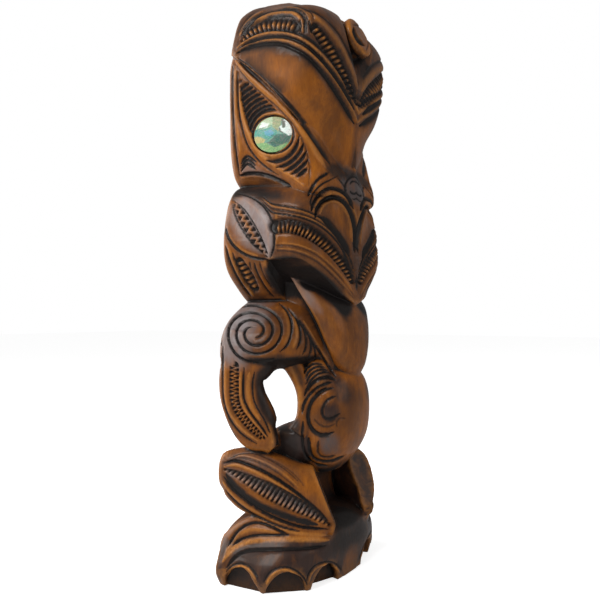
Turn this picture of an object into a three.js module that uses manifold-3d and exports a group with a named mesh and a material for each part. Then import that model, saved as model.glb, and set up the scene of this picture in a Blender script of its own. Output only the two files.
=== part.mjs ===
// Carved wooden standing figure with shell eyes, on a base cut from the same block.
// Millimetres, +Z up. The front faces -Y, and the figure's right side is at -X.
// The origin is under the middle of the block, on the plane that it stands on.

import * as THREE from "three";
import * as BufferGeometryUtils from "three/addons/utils/BufferGeometryUtils.js";
import Module from "manifold-3d";

const wasm = await Module();
wasm.setup();

// Block
const HEIGHT = 450;
const BACK = 41;
const TRIM = 400;

// Points round one section, and sections laid between two control rows
const RING_POINTS = 24;
const LIMB_POINTS = 12;
const LIMB_SQUARE = 2.5;
const STEPS_PER_ROW = 2;
const LIMB_STEPS_PER_ROW = 1;

// Shell eyes: an oval disc in a socket on each side of the head
const EYE_CENTRE = new THREE.Vector3(-52.3, 2.6, 330.4);
const EYE_HALF_LENGTH = 14.6;
const EYE_HALF_HEIGHT = 13.2;
const EYE_THICKNESS = 3;
const EYE_DOME = 1.6;
const EYE_TURN = THREE.MathUtils.degToRad(74);
const EYE_TILT = THREE.MathUtils.degToRad(3);
const EYE_GAP = 0.3;
const EYE_SEGMENTS = 20;
const EYE_DOME_STEPS = 4;
const SOCKET_REACH = 12;

// Scalloped rim of the base
const SCALLOP_DEPTH = 7;
const SCALLOP_RISE = 1.2;
const SCALLOP_SEGMENTS = 16;
// Places round the foot, the way each arch faces in degrees, and its radius
const SCALLOPS = [
  { x: 32.5, y: -30, turn: 19, radius: 13.5 },
  { x: 64, y: -17, turn: 48, radius: 14.5 },
  { x: 76, y: 16, turn: 87, radius: 14.5 },
];

// Forehead boss
const BOSS_RADIUS = 16.4;
const BOSS_HEIGHT = 14;
const BOSS_CENTRE = new THREE.Vector3(0, -36, 407.5);
const BOSS_TILT = THREE.MathUtils.degToRad(21);
const BOSS_SEGMENTS = 24;
// Outline of the boss from its back to its face, in shares of its radius and height
const BOSS_PROFILE = [
  [0, -0.6], [0.66, -0.6], [0.7, -0.1], [0.96, 0],
  [1, 0.2], [0.93, 0.42], [0.76, 0.5], [0, 0.54],
];

// Control rows of each mass. A row is one horizontal section at height z:
// half width at the back (wide) and at the front (wideFront), front and back edges (y),
// the section's widest line (mid), and how square its front and back halves are.
const HEAD = [
  { z: 449.4, wide: 10, wideFront: 6, front: 15, back: 30, mid: 20, squareFront: 2, squareBack: 3 },
  { z: 446, wide: 17, wideFront: 11, front: 13, back: 35, mid: 18, squareFront: 2, squareBack: 8 },
  { z: 438, wide: 32.5, wideFront: 19, front: -6, back: 39.5, mid: 14, squareFront: 2.6, squareBack: 10 },
  { z: 428, wide: 44, wideFront: 38.4, front: -26, back: BACK, mid: 10, squareFront: 3, squareBack: 12 },
  { z: 420, wide: 49.5, wideFront: 53, front: -34.5, back: BACK, mid: 8, squareFront: 4.4, squareBack: 12 },
  { z: 410, wide: 53.5, wideFront: 60, front: -40.5, back: BACK, mid: 8, squareFront: 5, squareBack: 12 },
  { z: 395, wide: 58, wideFront: 61.5, front: -42, back: BACK, mid: 6, squareFront: 5.2, squareBack: 12 },
  { z: 376, wide: 60.5, wideFront: 58, front: -42, back: BACK, mid: 4, squareFront: 4.8, squareBack: 12 },
  { z: 356, wide: 62, wideFront: 56, front: -41, back: BACK, mid: 2, squareFront: 3.3, squareBack: 12 },
  { z: 340, wide: 62, wideFront: 53, front: -39, back: BACK, mid: 2, squareFront: 2.1, squareBack: 12 },
  { z: 324, wide: 59.5, wideFront: 49, front: -38, back: BACK, mid: 2, squareFront: 1.7, squareBack: 12 },
  { z: 306, wide: 56, wideFront: 42, front: -36.5, back: BACK, mid: 2, squareFront: 1.4, squareBack: 12 },
];

// Valley down the middle of the forehead: its bottom line, and how fast its sides open
const VALLEY = [
  { y: -46, z: 335 },
  { y: -41.5, z: 345 },
  { y: -40, z: 356 },
  { y: -39.5, z: 372 },
  { y: -38, z: 384 },
  { y: -33.5, z: 395 },
  { y: -29.5, z: 407 },
  { y: -26, z: 418 },
  { y: -20.5, z: 429 },
  { y: -6, z: 442 },
  { y: 4, z: 452 },
];
const VALLEY_FRONT = -60;
const VALLEY_SPREAD = 1.9;

// The eye side of the head, set back under the brow
const CHEEK = [
  { z: 408, wide: 50, wideFront: 40, front: -24, back: 39, mid: 6, squareFront: 3, squareBack: 10 },
  { z: 388, wide: 58.5, wideFront: 48, front: -27, back: BACK, mid: 6, squareFront: 4, squareBack: 12 },
  { z: 366, wide: 60.5, wideFront: 48, front: -26, back: BACK, mid: 6, squareFront: 5, squareBack: 12 },
  { z: 346, wide: 60, wideFront: 47, front: -24, back: BACK, mid: 6, squareFront: 6, squareBack: 12 },
  { z: 330, wide: 60, wideFront: 48, front: -26.5, back: BACK, mid: 4, squareFront: 6, squareBack: 12 },
  { z: 314, wide: 58, wideFront: 49, front: -30, back: BACK, mid: 4, squareFront: 6, squareBack: 12 },
  { z: 302, wide: 53.5, wideFront: 51, front: -34, back: BACK, mid: 4, squareFront: 6, squareBack: 12 },
  { z: 294, wide: 44, wideFront: 52, front: -35.5, back: BACK, mid: 4, squareFront: 6, squareBack: 12 },
  { z: 286, wide: 36, wideFront: 51, front: -35, back: 38, mid: 4, squareFront: 5, squareBack: 10 },
  { z: 280, wide: 28, wideFront: 38, front: -27, back: 34, mid: 4, squareFront: 3, squareBack: 5 },
];

const NOSE = [
  { z: 309, wide: 8, wideFront: 8, front: -37.5, back: 0, mid: -22, squareFront: 2, squareBack: 3 },
  { z: 302, wide: 18, wideFront: 18, front: -38, back: 0, mid: -22, squareFront: 2, squareBack: 3 },
  { z: 292, wide: 29, wideFront: 29, front: -39, back: 0, mid: -22, squareFront: 2.2, squareBack: 3 },
  { z: 280, wide: 35, wideFront: 35, front: -39.5, back: 0, mid: -22, squareFront: 2.4, squareBack: 3 },
  { z: 268, wide: 36, wideFront: 36, front: -39.5, back: 0, mid: -22, squareFront: 2.4, squareBack: 3 },
  { z: 254, wide: 30, wideFront: 30, front: -39, back: 0, mid: -22, squareFront: 2.2, squareBack: 3 },
];

const JAW = [
  { z: 299, wide: 40, wideFront: 36, front: -20, back: 38, mid: 6, squareFront: 3, squareBack: 8 },
  { z: 293, wide: 52, wideFront: 44, front: -26, back: BACK, mid: 6, squareFront: 4, squareBack: 12 },
  { z: 283, wide: 61, wideFront: 52, front: -32.5, back: BACK, mid: 4, squareFront: 5, squareBack: 12 },
  { z: 270, wide: 65.5, wideFront: 59, front: -36, back: BACK, mid: 4, squareFront: 4.2, squareBack: 12 },
  { z: 256, wide: 68, wideFront: 61, front: -38.5, back: BACK, mid: 4, squareFront: 4, squareBack: 12 },
  { z: 242, wide: 67.5, wideFront: 58, front: -39, back: BACK, mid: 6, squareFront: 4.5, squareBack: 12 },
  { z: 230, wide: 62.5, wideFront: 50, front: -39, back: BACK, mid: 8, squareFront: 4.5, squareBack: 12 },
  { z: 219, wide: 51, wideFront: 40, front: -39.5, back: BACK, mid: 8, squareFront: 3.5, squareBack: 12 },
  { z: 208, wide: 38, wideFront: 28, front: -39.5, back: 40, mid: 8, squareFront: 3, squareBack: 10 },
  { z: 202, wide: 27, wideFront: 16, front: -34, back: 36, mid: 8, squareFront: 2, squareBack: 6 },
];

// The hollow under the upper lip: its edge rises from the chin to the mouth corners
const MOUTH_EDGE = [
  { x: 0, z: 205 },
  { x: -20, z: 213 },
  { x: -43, z: 228 },
  { x: -56, z: 238 },
  { x: -66, z: 238 },
];
const MOUTH_FRONT = -60;
const MOUTH_BACK = 3;
const MOUTH_BELOW = 190;

const CHEST = [
  { z: 240, wide: 36, wideFront: 36, front: -4, back: 24, mid: 0, squareFront: 2, squareBack: 3 },
  { z: 214, wide: 35, wideFront: 34, front: -16, back: 24, mid: 0, squareFront: 2.4, squareBack: 3 },
  { z: 200, wide: 33, wideFront: 32, front: -23, back: 22, mid: -2, squareFront: 2.6, squareBack: 3 },
  { z: 186, wide: 31, wideFront: 30, front: -28, back: 18, mid: -6, squareFront: 2.6, squareBack: 3 },
  { z: 170, wide: 29, wideFront: 26, front: -31, back: 11, mid: -12, squareFront: 2.6, squareBack: 2.6 },
  { z: 156, wide: 27, wideFront: 23, front: -32, back: 5, mid: -16, squareFront: 2.4, squareBack: 2.4 },
  { z: 146, wide: 24, wideFront: 20, front: -30, back: 2, mid: -16, squareFront: 2.2, squareBack: 2.4 },
];

const TONGUE = [
  { z: 244, wide: 41, wideFront: 41, front: -5, back: 8, mid: 4, squareFront: 2, squareBack: 1.2 },
  { z: 228, wide: 40, wideFront: 40, front: -14, back: 5, mid: -4, squareFront: 2, squareBack: 1.2 },
  { z: 214, wide: 38, wideFront: 38, front: -30, back: 1, mid: -12, squareFront: 2.2, squareBack: 1.2 },
  { z: 204, wide: 35.5, wideFront: 35.5, front: -38, back: -3, mid: -18, squareFront: 2.4, squareBack: 1.2 },
  { z: 193, wide: 32, wideFront: 32, front: -41.5, back: -6, mid: -23, squareFront: 2.4, squareBack: 1.2 },
  { z: 182, wide: 28.5, wideFront: 28.5, front: -43, back: -9, mid: -26.5, squareFront: 2.4, squareBack: 1.2 },
  { z: 171, wide: 23.5, wideFront: 23.5, front: -43.5, back: -12, mid: -29.5, squareFront: 2.4, squareBack: 1.2 },
  { z: 160, wide: 17, wideFront: 17, front: -43, back: -16, mid: -31, squareFront: 2.3, squareBack: 1.2 },
  { z: 151, wide: 9, wideFront: 9, front: -40, back: -22, mid: -32, squareFront: 2, squareBack: 1.2 },
];

const BELLY = [
  { z: 160, wide: 22, wideFront: 21, front: -30, back: 2, mid: -14, squareFront: 2, squareBack: 2.2 },
  { z: 152, wide: 29, wideFront: 28, front: -39.5, back: 2, mid: -16, squareFront: 2.1, squareBack: 2.2 },
  { z: 140, wide: 32, wideFront: 32, front: -43, back: 2, mid: -18, squareFront: 2.3, squareBack: 2.2 },
  { z: 124, wide: 33.5, wideFront: 33.5, front: -43.5, back: 3, mid: -18, squareFront: 2.4, squareBack: 2.2 },
  { z: 108, wide: 33.5, wideFront: 33, front: -41.5, back: 8, mid: -18, squareFront: 2.4, squareBack: 2.4 },
  { z: 96, wide: 31, wideFront: 30, front: -37, back: 14, mid: -14, squareFront: 2.3, squareBack: 2.6 },
  { z: 86, wide: 27, wideFront: 25, front: -30, back: 16, mid: -12, squareFront: 2.2, squareBack: 3 },
  { z: 78, wide: 22, wideFront: 20, front: -22, back: 16, mid: -8, squareFront: 2.2, squareBack: 3 },
];

const SHOULDERS = [
  { z: 212, wide: 32, wideFront: 28, front: -12, back: 38, mid: 8, squareFront: 2, squareBack: 8 },
  { z: 204, wide: 47, wideFront: 41, front: -19, back: 40, mid: 8, squareFront: 2, squareBack: 10 },
  { z: 194, wide: 61, wideFront: 53, front: -23, back: BACK, mid: 8, squareFront: 2, squareBack: 12 },
  { z: 183, wide: 70, wideFront: 61, front: -25, back: BACK, mid: 8, squareFront: 2.1, squareBack: 12 },
  { z: 173, wide: 72, wideFront: 66, front: -25, back: BACK, mid: 10, squareFront: 2.1, squareBack: 12 },
  { z: 165, wide: 70, wideFront: 63, front: -21, back: BACK, mid: 10, squareFront: 2.1, squareBack: 12 },
  { z: 158, wide: 60, wideFront: 46, front: -10, back: 39, mid: 12, squareFront: 2.1, squareBack: 8 },
];

const HIPS = [
  { z: 114.5, wide: 27, wideFront: 23, front: -18, back: 12, mid: 0, squareFront: 2.4, squareBack: 3 },
  { z: 111, wide: 40, wideFront: 35, front: -25, back: 18, mid: 2, squareFront: 2.6, squareBack: 3 },
  { z: 106, wide: 42, wideFront: 37, front: -27, back: 23, mid: 4, squareFront: 2.6, squareBack: 3.4 },
  { z: 97, wide: 41, wideFront: 36, front: -27, back: 37, mid: 4, squareFront: 2.6, squareBack: 6 },
  { z: 84, wide: 41.5, wideFront: 34, front: -13, back: 40, mid: 5, squareFront: 2.6, squareBack: 7 },
  { z: 66, wide: 42, wideFront: 32, front: -5, back: 40, mid: 6, squareFront: 2.6, squareBack: 8 },
  { z: 44, wide: 42, wideFront: 34, front: -12, back: 40, mid: 6, squareFront: 2.6, squareBack: 8 },
  { z: 34, wide: 38, wideFront: 34, front: -20, back: 38, mid: 6, squareFront: 2.6, squareBack: 6 },
];

const BASE = [
  { z: 50, wide: 28, wideFront: 24, front: -12, back: 34, mid: 6, squareFront: 2.2, squareBack: 6 },
  { z: 46, wide: 44, wideFront: 38, front: -26, back: 38, mid: 6, squareFront: 2.4, squareBack: 8 },
  { z: 39, wide: 61, wideFront: 52, front: -33, back: 40, mid: 6, squareFront: 3, squareBack: 10 },
  { z: 30, wide: 69, wideFront: 63, front: -34.5, back: BACK, mid: 6, squareFront: 2.9, squareBack: 12 },
  { z: 20, wide: 75, wideFront: 71, front: -35, back: BACK, mid: 6, squareFront: 2.6, squareBack: 12 },
  { z: 10, wide: 78, wideFront: 73, front: -34.5, back: BACK, mid: 5, squareFront: 2.4, squareBack: 12 },
  { z: 0, wide: 74, wideFront: 66.5, front: -34, back: BACK, mid: 5, squareFront: 2.3, squareBack: 10 },
];

// Limbs of the right side: points along the middle of the limb, with the half thickness
// across the body (thick) and the half width along the face that shows (broad)
const ARM = [
  { x: -53, y: 18, z: 182, thick: 12, broad: 20 },
  { x: -56, y: 20.5, z: 167, thick: 11.5, broad: 20.5 },
  { x: -60.5, y: 25, z: 153, thick: 9.4, broad: 16.8 },
  { x: -60.3, y: 24, z: 138, thick: 9, broad: 17 },
  { x: -57, y: 18.3, z: 122, thick: 9.8, broad: 17.8 },
  { x: -54, y: 13.5, z: 111, thick: 9.5, broad: 15.5 },
  { x: -51, y: 7, z: 103.5, thick: 8, broad: 8.5 },
  { x: -50, y: 3.5, z: 99.5, thick: 6, broad: 5 },
];
const ARM_FACE = new THREE.Vector3(-0.93, -0.36, 0.05);

// Forearm, lying against the side of the chest and the belly
const FOREARM = [
  { x: -40.8, y: 3, z: 172, thick: 6, broad: 7 },
  { x: -34, y: -5, z: 158, thick: 6.5, broad: 7 },
  { x: -30.3, y: -10, z: 146, thick: 6.5, broad: 7 },
  { x: -29, y: -12, z: 134, thick: 6.5, broad: 7 },
  { x: -30.5, y: -11.5, z: 120, thick: 6.5, broad: 7 },
  { x: -34.5, y: -7, z: 110, thick: 6.5, broad: 7 },
];

const THIGH = [
  { x: -62.5, y: 46, z: 80, thick: 5, broad: 8 },
  { x: -59.5, y: 37, z: 80.5, thick: 10.5, broad: 17 },
  { x: -54, y: 24, z: 77, thick: 14, broad: 23 },
  { x: -49, y: 10, z: 72, thick: 15, broad: 24 },
  { x: -43.5, y: -5, z: 67, thick: 13.5, broad: 23.5 },
  { x: -38, y: -18, z: 63, thick: 11.5, broad: 24 },
  { x: -33, y: -29, z: 57.5, thick: 8.5, broad: 20.5 },
  { x: -26, y: -37, z: 52.5, thick: 5.5, broad: 17.5 },
  { x: -24, y: -48, z: 46, thick: 5, broad: 14 },
];
const THIGH_FACE = new THREE.Vector3(-0.88, -0.47, 0.1);

// Side view of what is cut off the front of each knee, true at its outer side. Towards the middle
// of the block the cut goes back by KNEE_SKEW for each millimetre.
const KNEE_CUT = [
  { y: -80, z: 105 },
  { y: -16, z: 105 },
  { y: -43.5, z: 45 },
  { y: -40, z: 33 },
  { y: -38, z: 20 },
  { y: -80, z: 20 },
];
const KNEE_OUTER = -40;
const KNEE_SKEW = 0.6;

const CALF = [
  { x: -61, y: 47, z: 18, thick: 6, broad: 8 },
  { x: -59, y: 35, z: 25, thick: 7.5, broad: 10 },
  { x: -56, y: 24, z: 33, thick: 10, broad: 12.5 },
  { x: -49, y: 8, z: 40, thick: 12.5, broad: 13 },
  { x: -42, y: -10, z: 42, thick: 12.5, broad: 11 },
  { x: -34, y: -23, z: 42, thick: 9, broad: 8 },
  { x: -29.5, y: -29, z: 42, thick: 4, broad: 5 },
];
const CALF_FACE = new THREE.Vector3(-0.84, -0.46, 0.3);

// Fingers closed on the top of the belly
const HAND_CENTRE = new THREE.Vector3(-26, -19, 151);
const HAND_SIZE = new THREE.Vector3(10, 11, 14);

// Side view of what is cut away under the brow: its edge falls from the back to the tip
const BROW_EDGE = [
  { y: 46, z: 399 },
  { y: 24, z: 384 },
  { y: 4, z: 366 },
  { y: -14, z: 344 },
  { y: -24, z: 325 },
  { y: -29, z: 308 },
  { y: -33, z: 303 },
];
const BROW_CUT_BOTTOM = 285;
const BROW_CUT_AHEAD = 30;
const BROW_CUT_FALL = 4;
const BROW_STEPS = 24;
const CUT_SIDE = 70;

const WOOD = new THREE.MeshStandardMaterial({ color: 0x8a4e22, roughness: 0.42, metalness: 0 });
const SHELL = new THREE.MeshStandardMaterial({ color: 0x9cc4a8, roughness: 0.12, metalness: 0.1 });

// A smooth curve through evenly numbered values
function through(values, t) {
  const last = values.length - 1;
  const i = Math.min(Math.floor(t), last - 1);
  const u = t - i;
  const before = values[Math.max(i - 1, 0)];
  const a = values[i];
  const b = values[i + 1];
  const after = values[Math.min(i + 2, last)];
  const slopeA = (b - before) / 2;
  const slopeB = (after - a) / 2;
  const cubic = 2 * a - 2 * b + slopeA + slopeB;
  const square = -3 * a + 3 * b - 2 * slopeA - slopeB;
  return a + u * (slopeA + u * (square + u * cubic));
}

function between(rows, t) {
  const row = {};
  for (const key of Object.keys(rows[0])) {
    row[key] = through(rows.map((r) => r[key]), t);
  }
  return row;
}

// How far out a rounded square reaches in the direction (c, s): 2 is round, more is squarer
function squared(c, s, power) {
  return Math.pow(Math.pow(Math.abs(c), power) + Math.pow(Math.abs(s), power), -1 / power);
}

// One horizontal section: a rounded outline whose halves may differ
function sectionRing(row) {
  const ring = [];
  for (let i = 0; i < RING_POINTS; i++) {
    const angle = (2 * Math.PI * i) / RING_POINTS;
    const c = Math.cos(angle);
    const s = Math.sin(angle);
    const atBack = s > 0;
    const square = atBack ? row.squareBack : row.squareFront;
    const reach = squared(c, s, square);
    const depth = atBack ? row.back - row.mid : row.mid - row.front;
    const y = row.mid + depth * reach * s;
    const forward = THREE.MathUtils.clamp((row.back - y) / (row.back - row.front), 0, 1);
    const half = THREE.MathUtils.lerp(row.wide, row.wideFront, forward);
    ring.push(new THREE.Vector3(half * reach * c, y, row.z));
  }
  return ring;
}

// One section across a limb, in the plane of its face normal and the direction beside it
function limbRing(row, along, face) {
  const side = new THREE.Vector3().crossVectors(along, face).normalize();
  const out = new THREE.Vector3().crossVectors(side, along).normalize();
  const ring = [];
  for (let i = 0; i < LIMB_POINTS; i++) {
    const angle = (2 * Math.PI * i) / LIMB_POINTS;
    const point = new THREE.Vector3(row.x, row.y, row.z);
    const c = Math.cos(angle);
    const s = Math.sin(angle);
    const reach = squared(c, s, LIMB_SQUARE);
    point.addScaledVector(side, row.broad * reach * c);
    point.addScaledVector(out, row.thick * reach * s);
    ring.push(point);
  }
  return ring;
}

// A closed skin over a stack of rings, with a fan over each end
function skin(rings) {
  const count = rings[0].length;
  const positions = [];
  const indices = [];
  for (const ring of rings) {
    for (const p of ring) {
      positions.push(p.x, p.y, p.z);
    }
  }
  for (let r = 0; r + 1 < rings.length; r++) {
    for (let i = 0; i < count; i++) {
      const j = (i + 1) % count;
      const a = r * count + i;
      const b = r * count + j;
      indices.push(a, a + count, b, b, a + count, b + count);
    }
  }
  for (const end of [0, rings.length - 1]) {
    const middle = new THREE.Vector3();
    rings[end].forEach((p) => middle.addScaledVector(p, 1 / count));
    const hub = positions.length / 3;
    positions.push(middle.x, middle.y, middle.z);
    for (let i = 0; i < count; i++) {
      const a = end * count + i;
      const b = end * count + ((i + 1) % count);
      indices.push(...(end === 0 ? [hub, a, b] : [hub, b, a]));
    }
  }
  const geometry = new THREE.BufferGeometry();
  geometry.setAttribute("position", new THREE.Float32BufferAttribute(positions, 3));
  geometry.setIndex(indices);
  return geometry;
}

function mass(rows) {
  const rings = [];
  const steps = (rows.length - 1) * STEPS_PER_ROW;
  for (let i = 0; i <= steps; i++) {
    rings.push(sectionRing(between(rows, i / STEPS_PER_ROW)));
  }
  return skin(rings);
}

function limb(rows, face) {
  const curve = new THREE.CatmullRomCurve3(rows.map((r) => new THREE.Vector3(r.x, r.y, r.z)));
  const rings = [];
  const steps = (rows.length - 1) * LIMB_STEPS_PER_ROW;
  for (let i = 0; i <= steps; i++) {
    const along = curve.getTangent(i / steps);
    rings.push(limbRing(between(rows, i / LIMB_STEPS_PER_ROW), along, face));
  }
  return skin(rings);
}

// The same shape on the other side of the body
function mirrored(geometry) {
  const copy = geometry.clone().scale(-1, 1, 1);
  const index = copy.getIndex();
  for (let i = 0; i < index.count; i += 3) {
    const second = index.getX(i + 1);
    index.setX(i + 1, index.getX(i + 2));
    index.setX(i + 2, second);
  }
  return copy;
}

function welded(geometry) {
  const bare = geometry.clone();
  bare.deleteAttribute("normal");
  bare.deleteAttribute("uv");
  return BufferGeometryUtils.mergeVertices(bare, 1e-4);
}

// A solid for joining and cutting, with its faces turned outwards
function solid(geometry) {
  const shape = welded(geometry);
  const vertProperties = new Float32Array(shape.getAttribute("position").array);
  const triVerts = new Uint32Array(shape.getIndex().array);
  const made = new wasm.Manifold(new wasm.Mesh({ numProp: 3, vertProperties, triVerts }));
  if (made.volume() > 0) {
    return made;
  }
  for (let i = 0; i < triVerts.length; i += 3) {
    const second = triVerts[i + 1];
    triVerts[i + 1] = triVerts[i + 2];
    triVerts[i + 2] = second;
  }
  return new wasm.Manifold(new wasm.Mesh({ numProp: 3, vertProperties, triVerts }));
}

function geometryOf(manifold) {
  const mesh = manifold.getMesh();
  const geometry = new THREE.BufferGeometry();
  geometry.setAttribute("position", new THREE.Float32BufferAttribute(mesh.vertProperties, 3));
  geometry.setIndex(new THREE.BufferAttribute(new Uint32Array(mesh.triVerts), 1));
  geometry.computeVertexNormals();
  return geometry;
}

// A flat outline pushed through the block along X
function sideCutter(points, halfWidth) {
  const outline = new THREE.Shape(points.map((p) => new THREE.Vector2(p.y, p.z)));
  const geometry = new THREE.ExtrudeGeometry(outline, { depth: 2 * halfWidth, bevelEnabled: false });
  const turn = new THREE.Matrix4().makeBasis(
    new THREE.Vector3(0, 1, 0), new THREE.Vector3(0, 0, 1), new THREE.Vector3(1, 0, 0));
  return geometry.applyMatrix4(turn).translate(-halfWidth, 0, 0);
}

// A flat outline pushed through the block along Y
function frontCutter(points, front, back) {
  const outline = new THREE.Shape(points.map((p) => new THREE.Vector2(p.x, p.z)));
  const geometry = new THREE.ExtrudeGeometry(outline, { depth: back - front, bevelEnabled: false });
  const turn = new THREE.Matrix4().makeBasis(
    new THREE.Vector3(1, 0, 0), new THREE.Vector3(0, 0, 1), new THREE.Vector3(0, -1, 0));
  return geometry.applyMatrix4(turn).translate(0, back, 0);
}

function head() {
  const edge = new THREE.SplineCurve(BROW_EDGE.map((p) => new THREE.Vector2(p.y, p.z)));
  const outline = edge.getPoints(BROW_STEPS).map((p) => ({ y: p.x, z: p.y }));
  const tip = outline[outline.length - 1];
  outline.push({ y: tip.y - BROW_CUT_AHEAD, z: tip.z - BROW_CUT_FALL });
  outline.push({ y: tip.y - BROW_CUT_AHEAD, z: BROW_CUT_BOTTOM });
  outline.push({ y: BROW_EDGE[0].y, z: BROW_CUT_BOTTOM });
  const underBrow = sideCutter(outline, CUT_SIDE);
  const brows = solid(mass(HEAD)).subtract(solid(underBrow)).subtract(solid(valley()));
  return brows.add(solid(mass(CHEEK)));
}

// A wedge that opens forwards from the valley's bottom line
function valley() {
  const rings = VALLEY.map((p) => {
    const half = VALLEY_SPREAD * (p.y - VALLEY_FRONT);
    return [
      new THREE.Vector3(0, p.y, p.z),
      new THREE.Vector3(-half, VALLEY_FRONT, p.z),
      new THREE.Vector3(half, VALLEY_FRONT, p.z),
    ];
  });
  return skin(rings);
}

function boss() {
  const profile = BOSS_PROFILE.map(([out, up]) => new THREE.Vector2(BOSS_RADIUS * out, BOSS_HEIGHT * up));
  const geometry = new THREE.LatheGeometry(profile, BOSS_SEGMENTS);
  geometry.rotateX(Math.PI - BOSS_TILT);
  return geometry.translate(BOSS_CENTRE.x, BOSS_CENTRE.y, BOSS_CENTRE.z);
}

function jaw() {
  const right = MOUTH_EDGE.slice(1).reverse();
  const end = right[0];
  const hollow = [{ x: end.x, z: MOUTH_BELOW }, ...right];
  hollow.push(...MOUTH_EDGE.map((p) => ({ x: -p.x, z: p.z })));
  hollow.push({ x: -end.x, z: MOUTH_BELOW });
  return solid(mass(JAW)).subtract(solid(frontCutter(hollow, MOUTH_FRONT, MOUTH_BACK)));
}

// Frame of one eye: x along the oval, y up the face, z out of the head
function eyeFrame() {
  const out = new THREE.Vector3(
    -Math.sin(EYE_TURN) * Math.cos(EYE_TILT), -Math.cos(EYE_TURN) * Math.cos(EYE_TILT), Math.sin(EYE_TILT));
  const along = new THREE.Vector3().crossVectors(new THREE.Vector3(0, 0, 1), out).normalize();
  const up = new THREE.Vector3().crossVectors(out, along);
  return new THREE.Matrix4().makeBasis(along, up, out).setPosition(EYE_CENTRE);
}

function eyeDisc(grow, outward) {
  const edge = 1 + grow / EYE_HALF_LENGTH;
  const back = -EYE_THICKNESS - grow;
  const profile = [new THREE.Vector2(0, back), new THREE.Vector2(edge, back)];
  if (outward > 0) {
    profile.push(new THREE.Vector2(edge, outward), new THREE.Vector2(0, outward));
  } else {
    for (let i = 0; i <= EYE_DOME_STEPS; i++) {
      const out = 1 - i / EYE_DOME_STEPS;
      profile.push(new THREE.Vector2(out, EYE_DOME * (1 - out * out)));
    }
  }
  const geometry = new THREE.LatheGeometry(profile, EYE_SEGMENTS);
  geometry.rotateX(Math.PI / 2);
  geometry.scale(EYE_HALF_LENGTH, EYE_HALF_HEIGHT, 1);
  return geometry.applyMatrix4(eyeFrame());
}

function hand() {
  const geometry = new THREE.SphereGeometry(1, LIMB_POINTS, LIMB_POINTS / 2);
  geometry.scale(HAND_SIZE.x, HAND_SIZE.y, HAND_SIZE.z);
  return geometry.translate(HAND_CENTRE.x, HAND_CENTRE.y, HAND_CENTRE.z);
}

function thigh() {
  const skewed = new THREE.Matrix4().set(
    1, 0, 0, 0,
    KNEE_SKEW, 1, 0, -KNEE_SKEW * KNEE_OUTER,
    0, 0, 1, 0,
    0, 0, 0, 1);
  const cutter = sideCutter(KNEE_CUT, CUT_SIDE).applyMatrix4(skewed);
  return welded(geometryOf(solid(limb(THIGH, THIGH_FACE)).subtract(solid(cutter))));
}

function scallop({ x, y, turn, radius }) {
  const geometry = new THREE.CylinderGeometry(radius, radius, 2 * SCALLOP_DEPTH, SCALLOP_SEGMENTS);
  geometry.rotateZ(THREE.MathUtils.degToRad(-turn));
  return geometry.scale(1, 1, SCALLOP_RISE).translate(-x, y, 0);
}

function body() {
  let whole = head();
  for (const rows of [NOSE, CHEST, TONGUE, BELLY, SHOULDERS, HIPS, BASE]) {
    whole = whole.add(solid(mass(rows)));
  }
  whole = whole.add(solid(boss()));
  whole = whole.add(jaw());
  const paired = [limb(ARM, ARM_FACE), limb(FOREARM, ARM_FACE), limb(CALF, CALF_FACE), hand()];
  for (const right of paired) {
    whole = whole.add(solid(right)).add(solid(mirrored(right)));
  }
  const rightThigh = thigh();
  whole = whole.add(solid(rightThigh)).add(solid(mirrored(rightThigh)));
  const sockets = eyeDisc(EYE_GAP, SOCKET_REACH);
  whole = whole.subtract(solid(sockets)).subtract(solid(mirrored(sockets)));
  for (const place of SCALLOPS) {
    const arch = scallop(place);
    whole = whole.subtract(solid(arch)).subtract(solid(mirrored(arch)));
  }
  return whole;
}

// Nothing of the block lies behind its back or below its foot
function trimmed(whole) {
  const behind = new THREE.BoxGeometry(TRIM, TRIM, 3 * TRIM).translate(0, BACK + TRIM / 2, HEIGHT / 2);
  const below = new THREE.BoxGeometry(TRIM, TRIM, TRIM).translate(0, 0, -TRIM / 2);
  return whole.subtract(solid(behind)).subtract(solid(below));
}

function named(name, geometry, material) {
  const mesh = new THREE.Mesh(geometry, material);
  mesh.name = name;
  return mesh;
}

const figure = new THREE.Group();
figure.add(named("carved_figure", geometryOf(trimmed(body())), WOOD));
figure.add(named("right_eye_shell", welded(eyeDisc(0, 0)), SHELL));
figure.add(named("left_eye_shell", welded(mirrored(eyeDisc(0, 0))), SHELL));

export default figure;
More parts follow.
